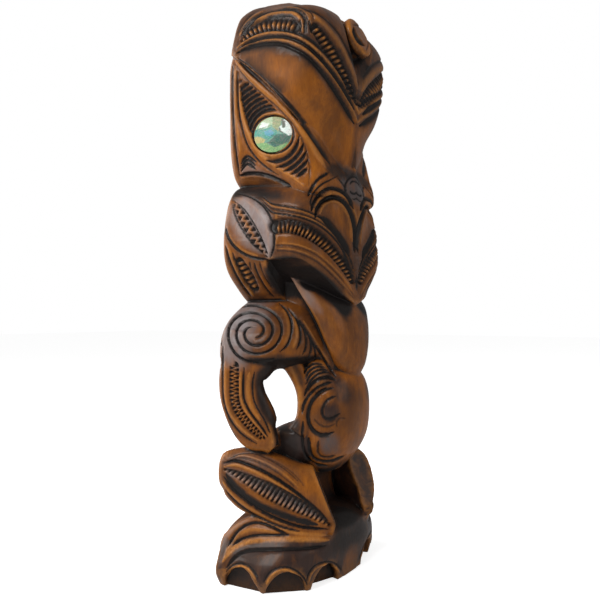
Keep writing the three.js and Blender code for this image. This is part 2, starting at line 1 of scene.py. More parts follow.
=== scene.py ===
import math
import bpy
import numpy as np
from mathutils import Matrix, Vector


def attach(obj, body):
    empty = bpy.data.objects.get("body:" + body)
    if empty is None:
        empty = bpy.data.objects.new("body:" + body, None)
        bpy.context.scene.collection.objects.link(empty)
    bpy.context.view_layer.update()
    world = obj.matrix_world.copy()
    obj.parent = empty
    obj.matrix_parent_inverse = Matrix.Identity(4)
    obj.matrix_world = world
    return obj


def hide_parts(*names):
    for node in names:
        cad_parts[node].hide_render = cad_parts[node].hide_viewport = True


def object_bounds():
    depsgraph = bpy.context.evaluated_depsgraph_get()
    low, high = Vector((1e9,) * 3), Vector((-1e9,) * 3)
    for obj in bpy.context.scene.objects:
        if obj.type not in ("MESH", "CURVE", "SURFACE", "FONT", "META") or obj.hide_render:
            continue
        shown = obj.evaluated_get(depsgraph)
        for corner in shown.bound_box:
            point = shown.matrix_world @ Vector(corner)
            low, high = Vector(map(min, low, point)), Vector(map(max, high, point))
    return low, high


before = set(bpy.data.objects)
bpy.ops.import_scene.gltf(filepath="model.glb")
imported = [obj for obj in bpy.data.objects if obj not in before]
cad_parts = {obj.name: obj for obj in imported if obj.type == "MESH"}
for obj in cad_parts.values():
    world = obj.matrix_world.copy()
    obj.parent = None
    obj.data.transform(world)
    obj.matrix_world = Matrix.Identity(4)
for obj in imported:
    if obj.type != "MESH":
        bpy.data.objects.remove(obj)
cad_low, cad_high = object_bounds()

# Lengths below are in millimetres in the row frame, and places on the carving are in pixels of the photograph.
MM = 0.001
STEP = 0.8
TRIANGLES = 192000
BACK = 41.0

# Camera of the photograph: level, looking at the figure from its right front
CAMERA_TURN = math.radians(58)
CAMERA_AWAY = 548.0
CAMERA_HEIGHT = 198.0
CAMERA_PIVOT_Y = 12.0
FOCAL_PIXELS = 680.0
PIXELS = 600.0
CENTRE_U = 300.0
HORIZON_V = 315.0

# Masses: one row is a horizontal section at height z, as (z, half width at the back, half width at
# the front, front y, back y, y of the widest line, squareness of the front half, of the back half)
HEAD = [
    (449.4, 9, 5, 17, 29, 20, 2, 3), (446, 17, 7, 8, 35, 18, 2, 8),
    (438, 32.5, 17, -8, 39.5, 14, 2.6, 10), (428, 44, 38.4, -26, BACK, 10, 3, 12),
    (420, 49.5, 53, -34.5, BACK, 8, 4.4, 12), (410, 53.5, 60, -40.5, BACK, 8, 5, 12),
    (395, 58, 61.5, -42, BACK, 6, 5.2, 12), (376, 60.5, 58, -42, BACK, 4, 4.8, 12),
    (356, 62, 56, -41, BACK, 2, 3.3, 12), (340, 62, 53, -39, BACK, 2, 2.1, 12),
    (324, 59.5, 49, -38, BACK, 2, 1.7, 12), (306, 56, 42, -36.5, BACK, 2, 1.4, 12),
]
CHEEK = [
    (408, 50, 40, -24, 39, 6, 3, 10), (388, 58.5, 48, -27, BACK, 6, 4, 12),
    (366, 60.5, 48, -26, BACK, 6, 5, 12), (346, 60, 47, -24, BACK, 6, 6, 12),
    (330, 60, 48, -26.5, BACK, 4, 6, 12), (314, 58, 49, -30, BACK, 4, 6, 12),
    (302, 53.5, 51, -34, BACK, 4, 6, 12), (294, 44, 52, -35.5, BACK, 4, 6, 12),
    (286, 36, 51, -35, 38, 4, 5, 10), (280, 28, 38, -27, 34, 4, 3, 5),
]
NOSE = [
    (309, 8, 8, -37.5, 0, -22, 2, 3), (302, 18, 18, -38, 0, -22, 2, 3), (292, 29, 29, -39, 0, -22, 2.2, 3),
    (280, 35, 35, -39.5, 0, -22, 2.4, 3), (268, 36, 36, -39.5, 0, -22, 2.4, 3),
    (254, 30, 30, -39, 0, -22, 2.2, 3),
]
JAW = [
    (299, 40, 36, -20, 38, 6, 3, 8), (293, 52, 44, -26, BACK, 6, 4, 12),
    (283, 61, 52, -32.5, BACK, 4, 5, 12), (270, 65.5, 59, -36, BACK, 4, 4.2, 12),
    (256, 68, 61, -38.5, BACK, 4, 4, 12), (242, 67.5, 58, -39, BACK, 6, 4.5, 12),
    (230, 62.5, 50, -39, BACK, 8, 4.5, 12), (219, 51, 40, -39.5, BACK, 8, 3.5, 12),
    (208, 38, 28, -39.5, 40, 8, 3, 10), (202, 27, 16, -34, 36, 8, 2, 6),
]
CHEST = [
    (240, 36, 36, -4, 24, 0, 2, 3), (214, 35, 34, -16, 24, 0, 2.4, 3), (200, 33, 32, -23, 22, -2, 2.6, 3),
    (186, 31, 30, -28, 18, -6, 2.6, 3), (170, 29, 26, -31, 11, -12, 2.6, 2.6),
    (156, 27, 23, -32, 5, -16, 2.4, 2.4), (146, 24, 20, -30, 2, -16, 2.2, 2.4),
]
TONGUE = [
    (244, 41, 41, -5, 8, 4, 2, 1.2), (228, 40, 40, -14, 5, -4, 2, 1.2),
    (214, 38, 38, -30, 1, -12, 2.2, 1.2), (204, 35.5, 35.5, -38, -3, -18, 2.4, 1.2),
    (193, 32, 32, -41.5, -6, -23, 2.4, 1.2), (182, 28.5, 28.5, -43, -9, -26.5, 2.4, 1.2),
    (171, 23.5, 23.5, -43.5, -12, -29.5, 2.4, 1.2), (160, 17, 17, -43, -16, -31, 2.3, 1.2),
    (151, 9, 9, -40, -22, -32, 2, 1.2),
]
BELLY = [
    (160, 22, 21, -30, 2, -14, 2, 2.2), (152, 29, 28, -39.5, 2, -16, 2.1, 2.2),
    (140, 32, 32, -43, 2, -18, 2.3, 2.2), (124, 33.5, 33.5, -43.5, 3, -18, 2.4, 2.2),
    (108, 33.5, 33, -41.5, 8, -18, 2.4, 2.4), (96, 31, 30, -37, 14, -14, 2.3, 2.6),
    (86, 27, 25, -30, 16, -12, 2.2, 3), (78, 22, 20, -22, 16, -8, 2.2, 3),
]
SHOULDERS = [
    (212, 32, 28, -12, 38, 8, 2, 8), (204, 47, 41, -19, 40, 8, 2, 10), (194, 61, 53, -23, BACK, 8, 2, 12),
    (183, 70, 61, -25, BACK, 8, 2.1, 12), (173, 72, 66, -25, BACK, 10, 2.1, 12),
    (165, 70, 63, -21, BACK, 10, 2.1, 12), (158, 60, 46, -10, 39, 12, 2.1, 8),
]
HIPS = [
    (114.5, 27, 23, -18, 12, 0, 2.4, 3), (111, 40, 35, -25, 18, 2, 2.6, 3),
    (106, 42, 37, -27, 23, 4, 2.6, 3.4), (97, 41, 36, -27, 37, 4, 2.6, 6),
    (84, 41.5, 34, -13, 40, 5, 2.6, 7), (66, 42, 32, -5, 40, 6, 2.6, 8), (44, 42, 34, -12, 40, 6, 2.6, 8),
    (34, 38, 34, -20, 38, 6, 2.6, 6),
]
BASE = [
    (50, 28, 24, -12, 34, 6, 2.2, 6), (46, 44, 38, -26, 38, 6, 2.4, 8), (39, 61, 52, -33, 40, 6, 3, 10),
    (30, 69, 63, -34.5, BACK, 6, 2.9, 12), (20, 75, 71, -35, BACK, 6, 2.6, 12),
    (10, 78, 73, -34.5, BACK, 5, 2.4, 12), (0, 74, 66.5, -34, BACK, 5, 2.3, 10),
]

# Limbs of the right side, as (x, y, z, half thickness across the body, half width of the side that shows)
ARM = [
    (-53, 18, 182, 12, 20), (-56, 20.5, 167, 11.5, 20.5), (-60.5, 25, 153, 9.4, 16.8),
    (-60.3, 24, 138, 9, 17), (-57, 18.3, 122, 9.8, 17.8), (-54, 13.5, 111, 9.5, 15.5),
    (-51, 7, 103.5, 8, 8.5), (-50, 3.5, 99.5, 6, 5),
]
ARM_FACE = (-0.93, -0.36, 0.05)
FOREARM = [
    (-40.8, 3, 172, 6, 7), (-34, -5, 158, 6.5, 7), (-30.3, -10, 146, 6.5, 7), (-29, -12, 134, 6.5, 7),
    (-30.5, -11.5, 120, 6.5, 7), (-34.5, -7, 110, 6.5, 7),
]
THIGH = [
    (-62.5, 46, 80, 5, 8), (-59.5, 37, 80.5, 10.5, 17), (-54, 24, 77, 14, 23), (-49, 10, 72, 15, 24),
    (-43.5, -5, 67, 13.5, 23.5), (-38, -18, 63, 11.5, 24), (-33, -29, 57.5, 8.5, 20.5),
    (-26, -37, 52.5, 5.5, 17.5), (-24, -48, 46, 5, 14),
]
THIGH_FACE = (-0.88, -0.47, 0.1)
CALF = [
    (-61, 47, 18, 6, 8), (-59, 35, 25, 7.5, 10), (-56, 24, 33, 10, 12.5), (-49, 8, 40, 12.5, 13),
    (-42, -10, 42, 12.5, 11), (-34, -23, 42, 9, 8), (-29.5, -29, 42, 4, 5),
]
CALF_FACE = (-0.84, -0.46, 0.3)
LIMB_SQUARE = 2.5

HAND_CENTRE = (-26, -19, 151)
HAND_SIZE = (10, 11, 14)
# Front of each knee from the side: a slope down to its tip, and a shorter one back under it.
# It is true at the outer side, and goes back by KNEE_SKEW for each millimetre inwards.
KNEE_TOP = (-16, 105)
KNEE_TIP = (-43.5, 45)
KNEE_UNDER = (-40, 33)
KNEE_OUTER = -40
KNEE_SKEW = 0.6
BROW_EDGE = [(46, 399), (24, 384), (4, 366), (-14, 344), (-24, 325), (-29, 308), (-33, 303)]
MOUTH_EDGE = [(0, 205), (20, 213), (43, 228), (56, 238), (66, 238)]
MOUTH_BACK = 3.0
# Valley down the middle of the forehead: its bottom line, and how fast its sides open
VALLEY = [(-46, 335), (-41.5, 345), (-40, 356), (-39.5, 372), (-38, 384), (-33.5, 395), (-29.5, 407), (-26, 418),
          (-20.5, 429), (-6, 442), (4, 452)]
VALLEY_SPREAD = 1.9
BOSS_RADIUS = 15.4
BOSS_HEIGHT = 8.0
BOSS_RISE = 3.4
BOSS_FOOT = 12.2
BOSS_CENTRE = (0, -35.6, 408.2)
BOSS_TILT = math.radians(21)
EYE_CENTRE = (-52.3, 2.6, 330.4)
EYE_HALF_LENGTH = 14.6
EYE_HALF_HEIGHT = 13.2
EYE_THICKNESS = 3.0
EYE_DOME = 1.6
EYE_TURN = math.radians(74)
EYE_TILT = math.radians(3)
EYE_GAP = 0.3
SCALLOP_DEPTH = 7.0
SCALLOP_RISE = 1.2
SCALLOPS = [(32.5, -30, 19, 13.5), (64, -17, 48, 14.5), (76, 16, 87, 14.5)]

MASSES = ["head", "cheek", "nose", "jaw", "chest", "tongue", "belly", "shoulders", "hips", "base",
          "arm", "forearm", "thigh", "calf", "hand", "boss"]


def spline(values, t):
    """A smooth curve through evenly numbered rows of values."""
    values = np.asarray(values, float)
    last = len(values) - 1
    i = np.minimum(t.astype(int), last - 1)
    u = (t - i)[:, None]
    a, b = values[i], values[i + 1]
    slope_a = (b - values[np.maximum(i - 1, 0)]) / 2
    slope_b = (values[np.minimum(i + 2, last)] - a) / 2
    return a + u * (slope_a + u * (3 * (b - a) - 2 * slope_a - slope_b + u * (2 * (a - b) + slope_a + slope_b)))


def drawn(points, steps=8):
    """Points along the smooth curve through a few named ones."""
    t = np.linspace(0, len(points) - 1, (len(points) - 1) * steps + 1)
    return spline(points, t)


class Solid:
    """Distance to the figure's skin on a grid over its right half, below zero inside."""

    def __init__(self):
        self.x = -STEP * np.arange(int(80 / STEP) + 1)[::-1]
        self.y = np.arange(-53, 44, STEP)
        self.z = np.arange(-3 * STEP, 453, STEP)
        shape = (len(self.x), len(self.y), len(self.z))
        self.field = np.full(shape, 20.0, np.float32)
        self.mass = np.zeros(shape, np.int8)

    def part(self, low, high):
        """The slices of the grid that hold a box, and the places of its points."""
        cut = [slice(max(np.searchsorted(a, lo) - 1, 0), np.searchsorted(a, hi) + 1)
               for a, lo, hi in zip((self.x, self.y, self.z), low, high)]
        x, y, z = (a[c] for a, c in zip((self.x, self.y, self.z), cut))
        return tuple(cut), x[:, None, None], y[None, :, None], z[None, None, :]

    def add(self, cut, distance, name, fillet):
        """Joins a mass to the rest, with a small rounded seam."""
        old = self.field[cut]
        near = np.clip(fillet - np.abs(old - distance), 0, None) / fillet
        self.mass[cut] = np.where(distance < old, MASSES.index(name), self.mass[cut])
        self.field[cut] = np.minimum(old, distance) - near * near * fillet / 4

    def remove(self, cut, distance, fillet=1.0):
        old = self.field[cut]
        near = np.clip(fillet - np.abs(old + distance), 0, None) / fillet
        self.field[cut] = np.maximum(old, -distance) + near * near * fillet / 4


def to_distance(level):
    """Turns a level that is 1 on the skin into an approximate distance."""
    slope = np.sqrt(sum(g * g for g in np.gradient(level, STEP)))
    return np.clip((level - 1) / np.maximum(slope, 1e-4), -20, 20)


def mass_distance(solid, rows):
    rows = np.asarray(rows, float)
    fine = spline(rows, np.linspace(0, len(rows) - 1, (len(rows) - 1) * 24 + 1))[::-1]
    top, bottom = rows[0, 0], rows[-1, 0]
    low = (-rows[:, 1:3].max() - 9, rows[:, 3].min() - 9, bottom - 9)
    high = (0, rows[:, 4].max() + 9, top + 9)
    cut, x, y, z = solid.part(low, high)
    wide, wide_front, front, back, mid, square_front, square_back = (
        np.interp(z[0, 0], fine[:, 0], fine[:, i])[None, None, :] for i in range(1, 8))
    behind = y > mid
    square = np.where(behind, square_back, square_front)
    depth = np.where(behind, back - mid, mid - front)
    forward = np.clip((back - y) / (back - front), 0, 1)
    half = wide + (wide_front - wide) * forward
    level = ((np.abs(x) / half) ** square + (np.abs(y - mid) / depth) ** square) ** (1 / square)
    distance = to_distance(level)
    return cut, np.maximum(distance, np.maximum(z - top, bottom - z))


def limb_distance(solid, rows, face):
    rows = np.asarray(rows, float)
    line = spline(rows, np.linspace(0, len(rows) - 1, (len(rows) - 1) * 8 + 1))
    centre, thick, broad = line[:, :3], line[:, 3], line[:, 4]
    along = np.gradient(centre, axis=0)
    gap = np.linalg.norm(along, axis=1)
    along /= gap[:, None]
    side = np.cross(along, face)
    side /= np.linalg.norm(side, axis=1)[:, None]
    out = np.cross(side, along)
    room = rows[:, 4].max() + 8
    cut, x, y, z = solid.part(centre.min(0) - room, np.minimum(centre.max(0) + room, (0, 60, 500)))
    shape = np.broadcast_shapes(x.shape, y.shape, z.shape)
    p = np.stack([np.broadcast_to(a, shape).ravel() for a in (x, y, z)], 1)
    best = np.full(len(p), 1e9)
    near = np.zeros(len(p), int)
    for i, c in enumerate(centre):
        d = ((p - c) ** 2).sum(1)
        closer = d < best
        best[closer] = d[closer]
        near[closer] = i
    shift = ((p - centre[near]) * along[near]).sum(1) / gap[near]
    t = near + shift
    t_in = np.clip(t, 0, len(line) - 1.0001)
    i = t_in.astype(int)
    u = (t_in - i)[:, None]
    values = np.hstack([centre, side, out, thick[:, None], broad[:, None]])
    v = values[i] * (1 - u) + values[i + 1] * u
    d = p - v[:, :3]
    across = np.abs((d * v[:, 3:6]).sum(1)) / v[:, 10]
    through = np.abs((d * v[:, 6:9]).sum(1)) / v[:, 9]
    level = (across ** LIMB_SQUARE + through ** LIMB_SQUARE) ** (1 / LIMB_SQUARE)
    distance = to_distance(level.reshape(shape).astype(np.float32))
    ends = np.maximum(-t, t - (len(line) - 1)).reshape(shape) * gap.mean()
    return cut, np.maximum(distance, ends)


def eye_axes():
    out = np.array([-math.sin(EYE_TURN) * math.cos(EYE_TILT), -math.cos(EYE_TURN) * math.cos(EYE_TILT),
                    math.sin(EYE_TILT)])
    along = np.cross((0, 0, 1), out)
    along /= np.linalg.norm(along)
    return along, np.cross(out, along), out


def rounded_disc(radial, height, radius, half, edge):
    """Distance to a disc with rounded edges, from the distance to its axis and the height along it."""
    a = radial - (radius - edge)
    b = np.abs(height) - (half - edge)
    outside = np.sqrt(np.maximum(a, 0) ** 2 + np.maximum(b, 0) ** 2)
    return outside + np.minimum(np.maximum(a, b), 0) - edge


def build_solid():
    solid = Solid()
    cut, distance = mass_distance(solid, HEAD)
    edge = drawn(BROW_EDGE, 12)[::-1]
    y, z = solid.y[cut[1]], solid.z[cut[2]]
    slope = np.interp(y, edge[:, 0], np.gradient(edge[:, 1], edge[:, 0]))
    under = (np.interp(y, edge[:, 0], edge[:, 1])[:, None] - z[None, :]) / np.sqrt(1 + slope ** 2)[:, None]
    distance = np.maximum(distance, under[None])
    line = np.array(VALLEY, float)
    bottom = np.interp(z, line[:, 1], line[:, 0])[None, :]
    open_by = VALLEY_SPREAD * (bottom - y[:, None])
    valley = (open_by[None] - np.abs(solid.x[cut[0]])[:, None, None]) / math.hypot(1, VALLEY_SPREAD)
    solid.add(cut, np.maximum(distance, valley), "head", 1.0)
    for name, rows, fillet in (("cheek", CHEEK, 1.2), ("nose", NOSE, 4), ("chest", CHEST, 1), ("tongue", TONGUE, 1),
                               ("belly", BELLY, 1.2), ("shoulders", SHOULDERS, 1.5), ("hips", HIPS, 1.5),
                               ("base", BASE, 1.5)):
        solid.add(*mass_distance(solid, rows), name, fillet)
    cut, x, y, z = solid.part((-26, -60, 380), (0, 0, 432))
    dy, dz = y - BOSS_CENTRE[1], z - BOSS_CENTRE[2]
    height = -dy * math.cos(BOSS_TILT) + dz * math.sin(BOSS_TILT)
    across = dy * math.sin(BOSS_TILT) + dz * math.cos(BOSS_TILT)
    radial = np.sqrt(x * x + across ** 2)
    disc = rounded_disc(radial, height - BOSS_RISE, BOSS_RADIUS, BOSS_HEIGHT / 2, 2.0)
    foot = rounded_disc(radial, height + BOSS_HEIGHT / 2, BOSS_FOOT, BOSS_HEIGHT / 2, 0.5)
    solid.add(cut, np.minimum(disc, foot), "boss", 0.8)
    cut, distance = mass_distance(solid, JAW)
    x, y, z = solid.x[cut[0]], solid.y[cut[1]], solid.z[cut[2]]
    right = np.array(MOUTH_EDGE, float)
    hollow = z[None, None, :] - np.interp(-x, right[:, 0], right[:, 1])[:, None, None]
    hollow = np.maximum(hollow * 0.88, (y - MOUTH_BACK)[None, :, None])
    solid.add(cut, np.maximum(distance, -hollow), "jaw", 1.2)
    for name, rows, face in (("arm", ARM, ARM_FACE), ("forearm", FOREARM, ARM_FACE), ("thigh", THIGH, THIGH_FACE),
                             ("calf", CALF, CALF_FACE)):
        cut, distance = limb_distance(solid, rows, face)
        if name == "thigh":
            x, y, z = solid.x[cut[0]][:, None, None], solid.y[cut[1]][None, :, None], solid.z[cut[2]][None, None, :]
            y = y - KNEE_SKEW * (x - KNEE_OUTER)
            for (ya, za), (yb, zb) in ((KNEE_TOP, KNEE_TIP), (KNEE_TIP, KNEE_UNDER)):
                front = ((z - zb) * (ya - yb) - (y - yb) * (za - zb)) / math.hypot(ya - yb, za - zb)
                distance = np.maximum(distance, front * 0.88)
        solid.add(cut, distance, name, 3.6 if name == "arm" else 2.0)
    cut, x, y, z = solid.part((-40, -45, 130), (0, -10, 175))
    level = np.sqrt(sum(((a - c) / s) ** 2 for a, c, s in zip((x, y, z), HAND_CENTRE, HAND_SIZE)))
    solid.add(cut, to_distance(level), "hand", 1.5)
    along, up, out = eye_axes()
    cut, x, y, z = solid.part((-80, -25, 305), (-30, 30, 360))
    p = [a - c for a, c in zip((x, y, z), EYE_CENTRE)]
    flat = np.sqrt((sum(a * b for a, b in zip(p, along)) / (EYE_HALF_LENGTH + EYE_GAP)) ** 2
                   + (sum(a * b for a, b in zip(p, up)) / (EYE_HALF_HEIGHT + EYE_GAP)) ** 2)
    deep = -sum(a * b for a, b in zip(p, out)) - EYE_THICKNESS - EYE_GAP
    solid.remove(cut, np.maximum((flat - 1) * EYE_HALF_HEIGHT, deep), 0.5)
    for place_x, place_y, turn, radius in SCALLOPS:
        turn = math.radians(turn)
        cut, x, y, z = solid.part((-place_x - 20, place_y - 20, -5), (-place_x + 20, place_y + 20, 24))
        dx, dy = -(x + place_x), y - place_y
        length = dx * math.sin(turn) - dy * math.cos(turn)
        across = dx * math.cos(turn) + dy * math.sin(turn)
        arch = np.sqrt((across / radius) ** 2 + (z / radius / SCALLOP_RISE) ** 2)
        solid.remove(cut, np.maximum((arch - 1) * radius, np.abs(length) - SCALLOP_DEPTH))
    solid.field = np.maximum(solid.field, np.maximum(solid.y[None, :, None] - BACK, -solid.z[None, None, :]))
    return solid


def surface_nets(field, origin):
    """Vertices and four-sided faces on the zero level of a grid, and the cell of each vertex."""
    inside = field < 0
    count = np.zeros(tuple(n - 1 for n in field.shape), np.int8)
    corners = [(a, b, c) for a in (0, 1) for b in (0, 1) for c in (0, 1)]
    for a, b, c in corners:
        count += inside[a:field.shape[0] - 1 + a, b:field.shape[1] - 1 + b, c:field.shape[2] - 1 + c]
    cells = np.argwhere((count > 0) & (count < 8))
    number = np.full(count.shape, -1, np.int32)
    number[tuple(cells.T)] = np.arange(len(cells))
    value = {k: field[tuple((cells + k).T)] for k in corners}
    total = np.zeros((len(cells), 3))
    crossings = np.zeros(len(cells))
    for axis in range(3):
        for k in corners:
            if k[axis]:
                continue
            far = tuple(1 if i == axis else k[i] for i in range(3))
            a, b = value[k], value[far]
            crossed = (a < 0) != (b < 0)
            share = np.where(crossed, a / np.where(crossed, a - b, 1), 0)
            place = np.tile(np.array(k, float), (len(cells), 1))
            place[:, axis] = share
            total += place * crossed[:, None]
            crossings += crossed
    points = (cells + total / crossings[:, None]) * STEP + origin
    quads = []
    for axis in range(3):
        b, c = (axis + 1) % 3, (axis + 2) % 3
        ahead = [slice(None)] * 3
        ahead[axis] = slice(1, None)
        behind = [slice(None)] * 3
        behind[axis] = slice(None, -1)
        change = inside[tuple(ahead)] != inside[tuple(behind)]
        at = np.argwhere(change)
        at = at[(at[:, b] > 0) & (at[:, c] > 0)]
        leaving = inside[tuple(at.T)]
        around = []
        for db, dc in ((-1, -1), (0, -1), (0, 0), (-1, 0)):
            cell = at.copy()
            cell[:, b] += db
            cell[:, c] += dc
            around.append(number[tuple(cell.T)])
        quad = np.stack(around, 1)
        quad[~leaving] = quad[~leaving][:, ::-1]
        quads.append(quad)
    return points, np.concatenate(quads), cells


def sampled(grid, points, origin):
    """Values of a grid between its points."""
    p = (points - origin) / STEP
    i = np.clip(p.astype(int), 0, np.array(grid.shape) - 2)
    f = p - i
    value = 0
    for a in (0, 1):
        for b in (0, 1):
            for c in (0, 1):
                share = (f[:, 0] if a else 1 - f[:, 0]) * (f[:, 1] if b else 1 - f[:, 1])
                share = share * (f[:, 2] if c else 1 - f[:, 2])
                value = value + share * grid[i[:, 0] + a, i[:, 1] + b, i[:, 2] + c]
    return value


def project(points):
    """Pixel place in the photograph and distance from the camera."""
    x, y, z = points[:, 0], points[:, 1] - CAMERA_PIVOT_Y, points[:, 2]
    across = x * math.cos(CAMERA_TURN) - y * math.sin(CAMERA_TURN)
    away = CAMERA_AWAY + x * math.sin(CAMERA_TURN) + y * math.cos(CAMERA_TURN)
    u = CENTRE_U + FOCAL_PIXELS * across / away
    v = HORIZON_V - FOCAL_PIXELS * (z - CAMERA_HEIGHT) / away
    return u, v, away


def unfold(points, folded):
    """The same points with both sides of the figure laid over its right side, which the photograph shows."""
    if not folded:
        return points
    same = points.copy()
    same[:, 0] = -np.abs(same[:, 0])
    return same


def seen_share(points, normals):
    """How much of each point the photograph shows: 1 in plain sight, 0 behind something or turned away."""
    u, v, away = project(points)
    cells = 1.2
    wide = int(PIXELS / cells)
    iu = np.clip((u / cells).astype(int), 1, wide - 2)
    iv = np.clip((v / cells).astype(int), 1, wide - 2)
    nearest = np.full((wide, wide), 1e9)
    np.minimum.at(nearest, (iu, iv), away)
    spread = nearest.copy()
    for du in (-1, 0, 1):
        for dv in (-1, 0, 1):
            spread = np.minimum(spread, np.roll(nearest, (du, dv), (0, 1)))
    side = unfold(points, True)
    turned = normals.copy()
    turned[:, 0] = np.where(points[:, 0] > 0, -turned[:, 0], turned[:, 0])
    u, v, away = project(side)
    iu = np.clip((u / cells).astype(int), 0, wide - 1)
    iv = np.clip((v / cells).astype(int), 0, wide - 1)
    behind = away - spread[iu, iv]
    facing = -(turned[:, 0] * math.sin(CAMERA_TURN) + turned[:, 1] * math.cos(CAMERA_TURN))
    return np.clip((9 - behind) / 4, 0, 1) * np.clip((facing - 0.02) / 0.12, 0, 1)


def within(ring, u, v):
    """Whether places lie inside a closed line."""
    inside = np.zeros(len(u), bool)
    for (au, av), (bu, bv) in zip(ring[:-1], ring[1:]):
        if av != bv:
            inside ^= ((av > v) != (bv > v)) & (u < (bu - au) * (v - av) / (bv - av) + au)
    return inside


# How far the dirt beside a groove reaches, in widths of the groove
HALO = 2.3


class Carving:
    """The cuts, ridges, stains and painted shade on some of the masses, drawn in pixels of the photograph."""

    def __init__(self, u, v, tone):
        self.u, self.v, self.tone = u, v, tone
        self.cut = np.zeros(len(u))
        self.lift = np.zeros(len(u))
        # Darkness of the wood: real stain in the cuts, together with painted shade
        self.stain_and_shade = np.zeros(len(u))
        self.wear = np.zeros(len(u))
        # Grey: partly patina, partly a painted sheen of glancing light
        self.grey_sheen = np.zeros(len(u))

    def near(self, line, room, whole=False):
        """Points close to a line, with their signed distance (below or left is positive) and place along it.
        With whole, every point in the line's box comes back."""
        low, high = line.min(0) - room, line.max(0) + room
        at = np.nonzero((self.u > low[0]) & (self.u < high[0]) & (self.v > low[1]) & (self.v < high[1]))[0]
        best = np.full(len(at), 1e9)
        signed = np.zeros(len(at))
        share = np.zeros(len(at))
        step = np.diff(line, axis=0)
        length = np.maximum(np.hypot(step[:, 0], step[:, 1]), 1e-6)
        start = np.concatenate([[0], np.cumsum(length)])
        pu, pv = self.u[at], self.v[at]
        for i in range(len(step)):
            au, av = pu - line[i, 0], pv - line[i, 1]
            t = np.clip((au * step[i, 0] + av * step[i, 1]) / length[i] ** 2, 0, 1)
            d = np.hypot(au - t * step[i, 0], av - t * step[i, 1])
            closer = d < best
            best[closer] = d[closer]
            sign = np.where(step[i, 0] * av - step[i, 1] * au >= 0, 1.0, -1.0)
            signed[closer] = (d * sign)[closer]
            share[closer] = ((start[i] + t * length[i]) / start[-1])[closer]
        keep = (best < room) | whole
        return at[keep], signed[keep], share[keep]

    def groove(self, points, width, depth=1.5, dark=1.0, ends=0.12):
        at, d, s = self.near(drawn(points), width * HALO)
        room = width * np.clip(np.minimum(s, 1 - s) / max(ends, 1e-3) + 0.25, 0, 1)
        p = np.clip(1 - np.abs(d) / room, 0, 1)
        halo = np.clip(1 - np.abs(d) / (room * HALO), 0, 1)
        self.cut[at] = np.maximum(self.cut[at], depth * p * p * (3 - 2 * p))
        self.stain_and_shade[at] = np.maximum(self.stain_and_shade[at], dark * np.maximum(np.clip(p * 2.2, 0, 1), 0.42 * halo ** 1.5))

    def shade(self, points, width, dark=0.6):
        """Painted shade that fades away from a line."""
        at, d, s = self.near(drawn(points), width)
        p = np.clip(1 - np.abs(d) / width, 0, 1) * np.clip(np.minimum(s, 1 - s) / 0.1 + 0.3, 0, 1)
        self.stain_and_shade[at] = np.maximum(self.stain_and_shade[at], dark * p * p * (3 - 2 * p))

    def trim(self, outline, before):
        """Takes what was drawn since a copy was kept away again, outside a closed line."""
        out = ~within(drawn(list(outline) + [outline[0]], 5), self.u, self.v)
        for now, then in zip((self.cut, self.lift, self.stain_and_shade, self.wear), before):
            now[out] = then[out]

    def copy(self):
        return [values.copy() for values in (self.cut, self.lift, self.stain_and_shade, self.wear)]

    def ridge(self, points, width, lift=0.6, worn=0.8, ends=0.12):
        at, d, s = self.near(drawn(points), width)
        room = width * np.clip(np.minimum(s, 1 - s) / max(ends, 1e-3) + 0.25, 0, 1)
        p = np.clip(1 - (d / room) ** 2, 0, 1)
        self.lift[at] = np.maximum(self.lift[at], lift * p)
        self.wear[at] = np.maximum(self.wear[at], worn * p)

    def teeth(self, points, widths, count, skew=0.0, bright=0.65, depth=2.0, span=0.5):
        """A band of notches: bars that rise from one edge to their worn tips near the other."""
        at, d, s = self.near(drawn(points), max(widths) + 0.5)
        w = np.interp(s, np.linspace(0, 1, len(widths)), widths)
        t = np.clip((d + w) / (2 * w), 0, 1)
        edge = np.clip((w - np.abs(d)) / 1.2, 0, 1)
        phase = s * count + skew * (t - 0.5)
        bright = bright + 0.05 * np.sin(np.floor(phase) * 2.4)
        bar = 1 - np.abs(2 * (phase % 1) - 1)
        bar = np.clip((bar - span + 0.18) / 0.36, 0, 1)
        height = np.clip(1 - np.abs(t - bright) / 0.55, 0, 1)
        rise = bar * height ** 0.7 * np.clip((1 - t) / 0.12, 0, 1) * np.clip(t / 0.08, 0, 1)
        self.cut[at] = np.maximum(self.cut[at], depth * edge * (1 - rise))
        lit = bar * np.clip(1 - np.abs(t - bright) / 0.33, 0, 1) ** 0.6
        self.stain_and_shade[at] = np.maximum(self.stain_and_shade[at], edge * (1 - np.maximum(lit, 0.25 * bar)))
        self.wear[at] = np.maximum(self.wear[at], 1.0 * lit * edge)

    def zigzag(self, points, widths, count, depth=1.9, point=-0.15):
        """A band with dark wedges cut in from both edges, turn about, so that a bent strip is left between."""
        at, d, s = self.near(drawn(points), max(widths) + 0.5)
        w = np.interp(s, np.linspace(0, 1, len(widths)), widths)
        edge = np.clip((w - np.abs(d)) / 0.9, 0, 1)
        pit = np.zeros(len(at))
        for side, shift in ((1, 0.0), (-1, 0.5)):
            t = side * d / w
            open_by = 0.46 * np.clip((t - point) / (0.75 - point), 0, 1)
            off = np.abs((s * count + shift) % 1 - 0.5)
            pit = np.maximum(pit, np.clip((open_by - off) / 0.14, 0, 1))
        pit *= edge
        self.cut[at] = np.maximum(self.cut[at], depth * pit)
        self.stain_and_shade[at] = np.maximum(self.stain_and_shade[at], pit)
        self.wear[at] = np.maximum(self.wear[at], 0.4 * edge * (1 - pit) * np.clip(1.3 - np.abs(d / w) * 1.6, 0, 1))

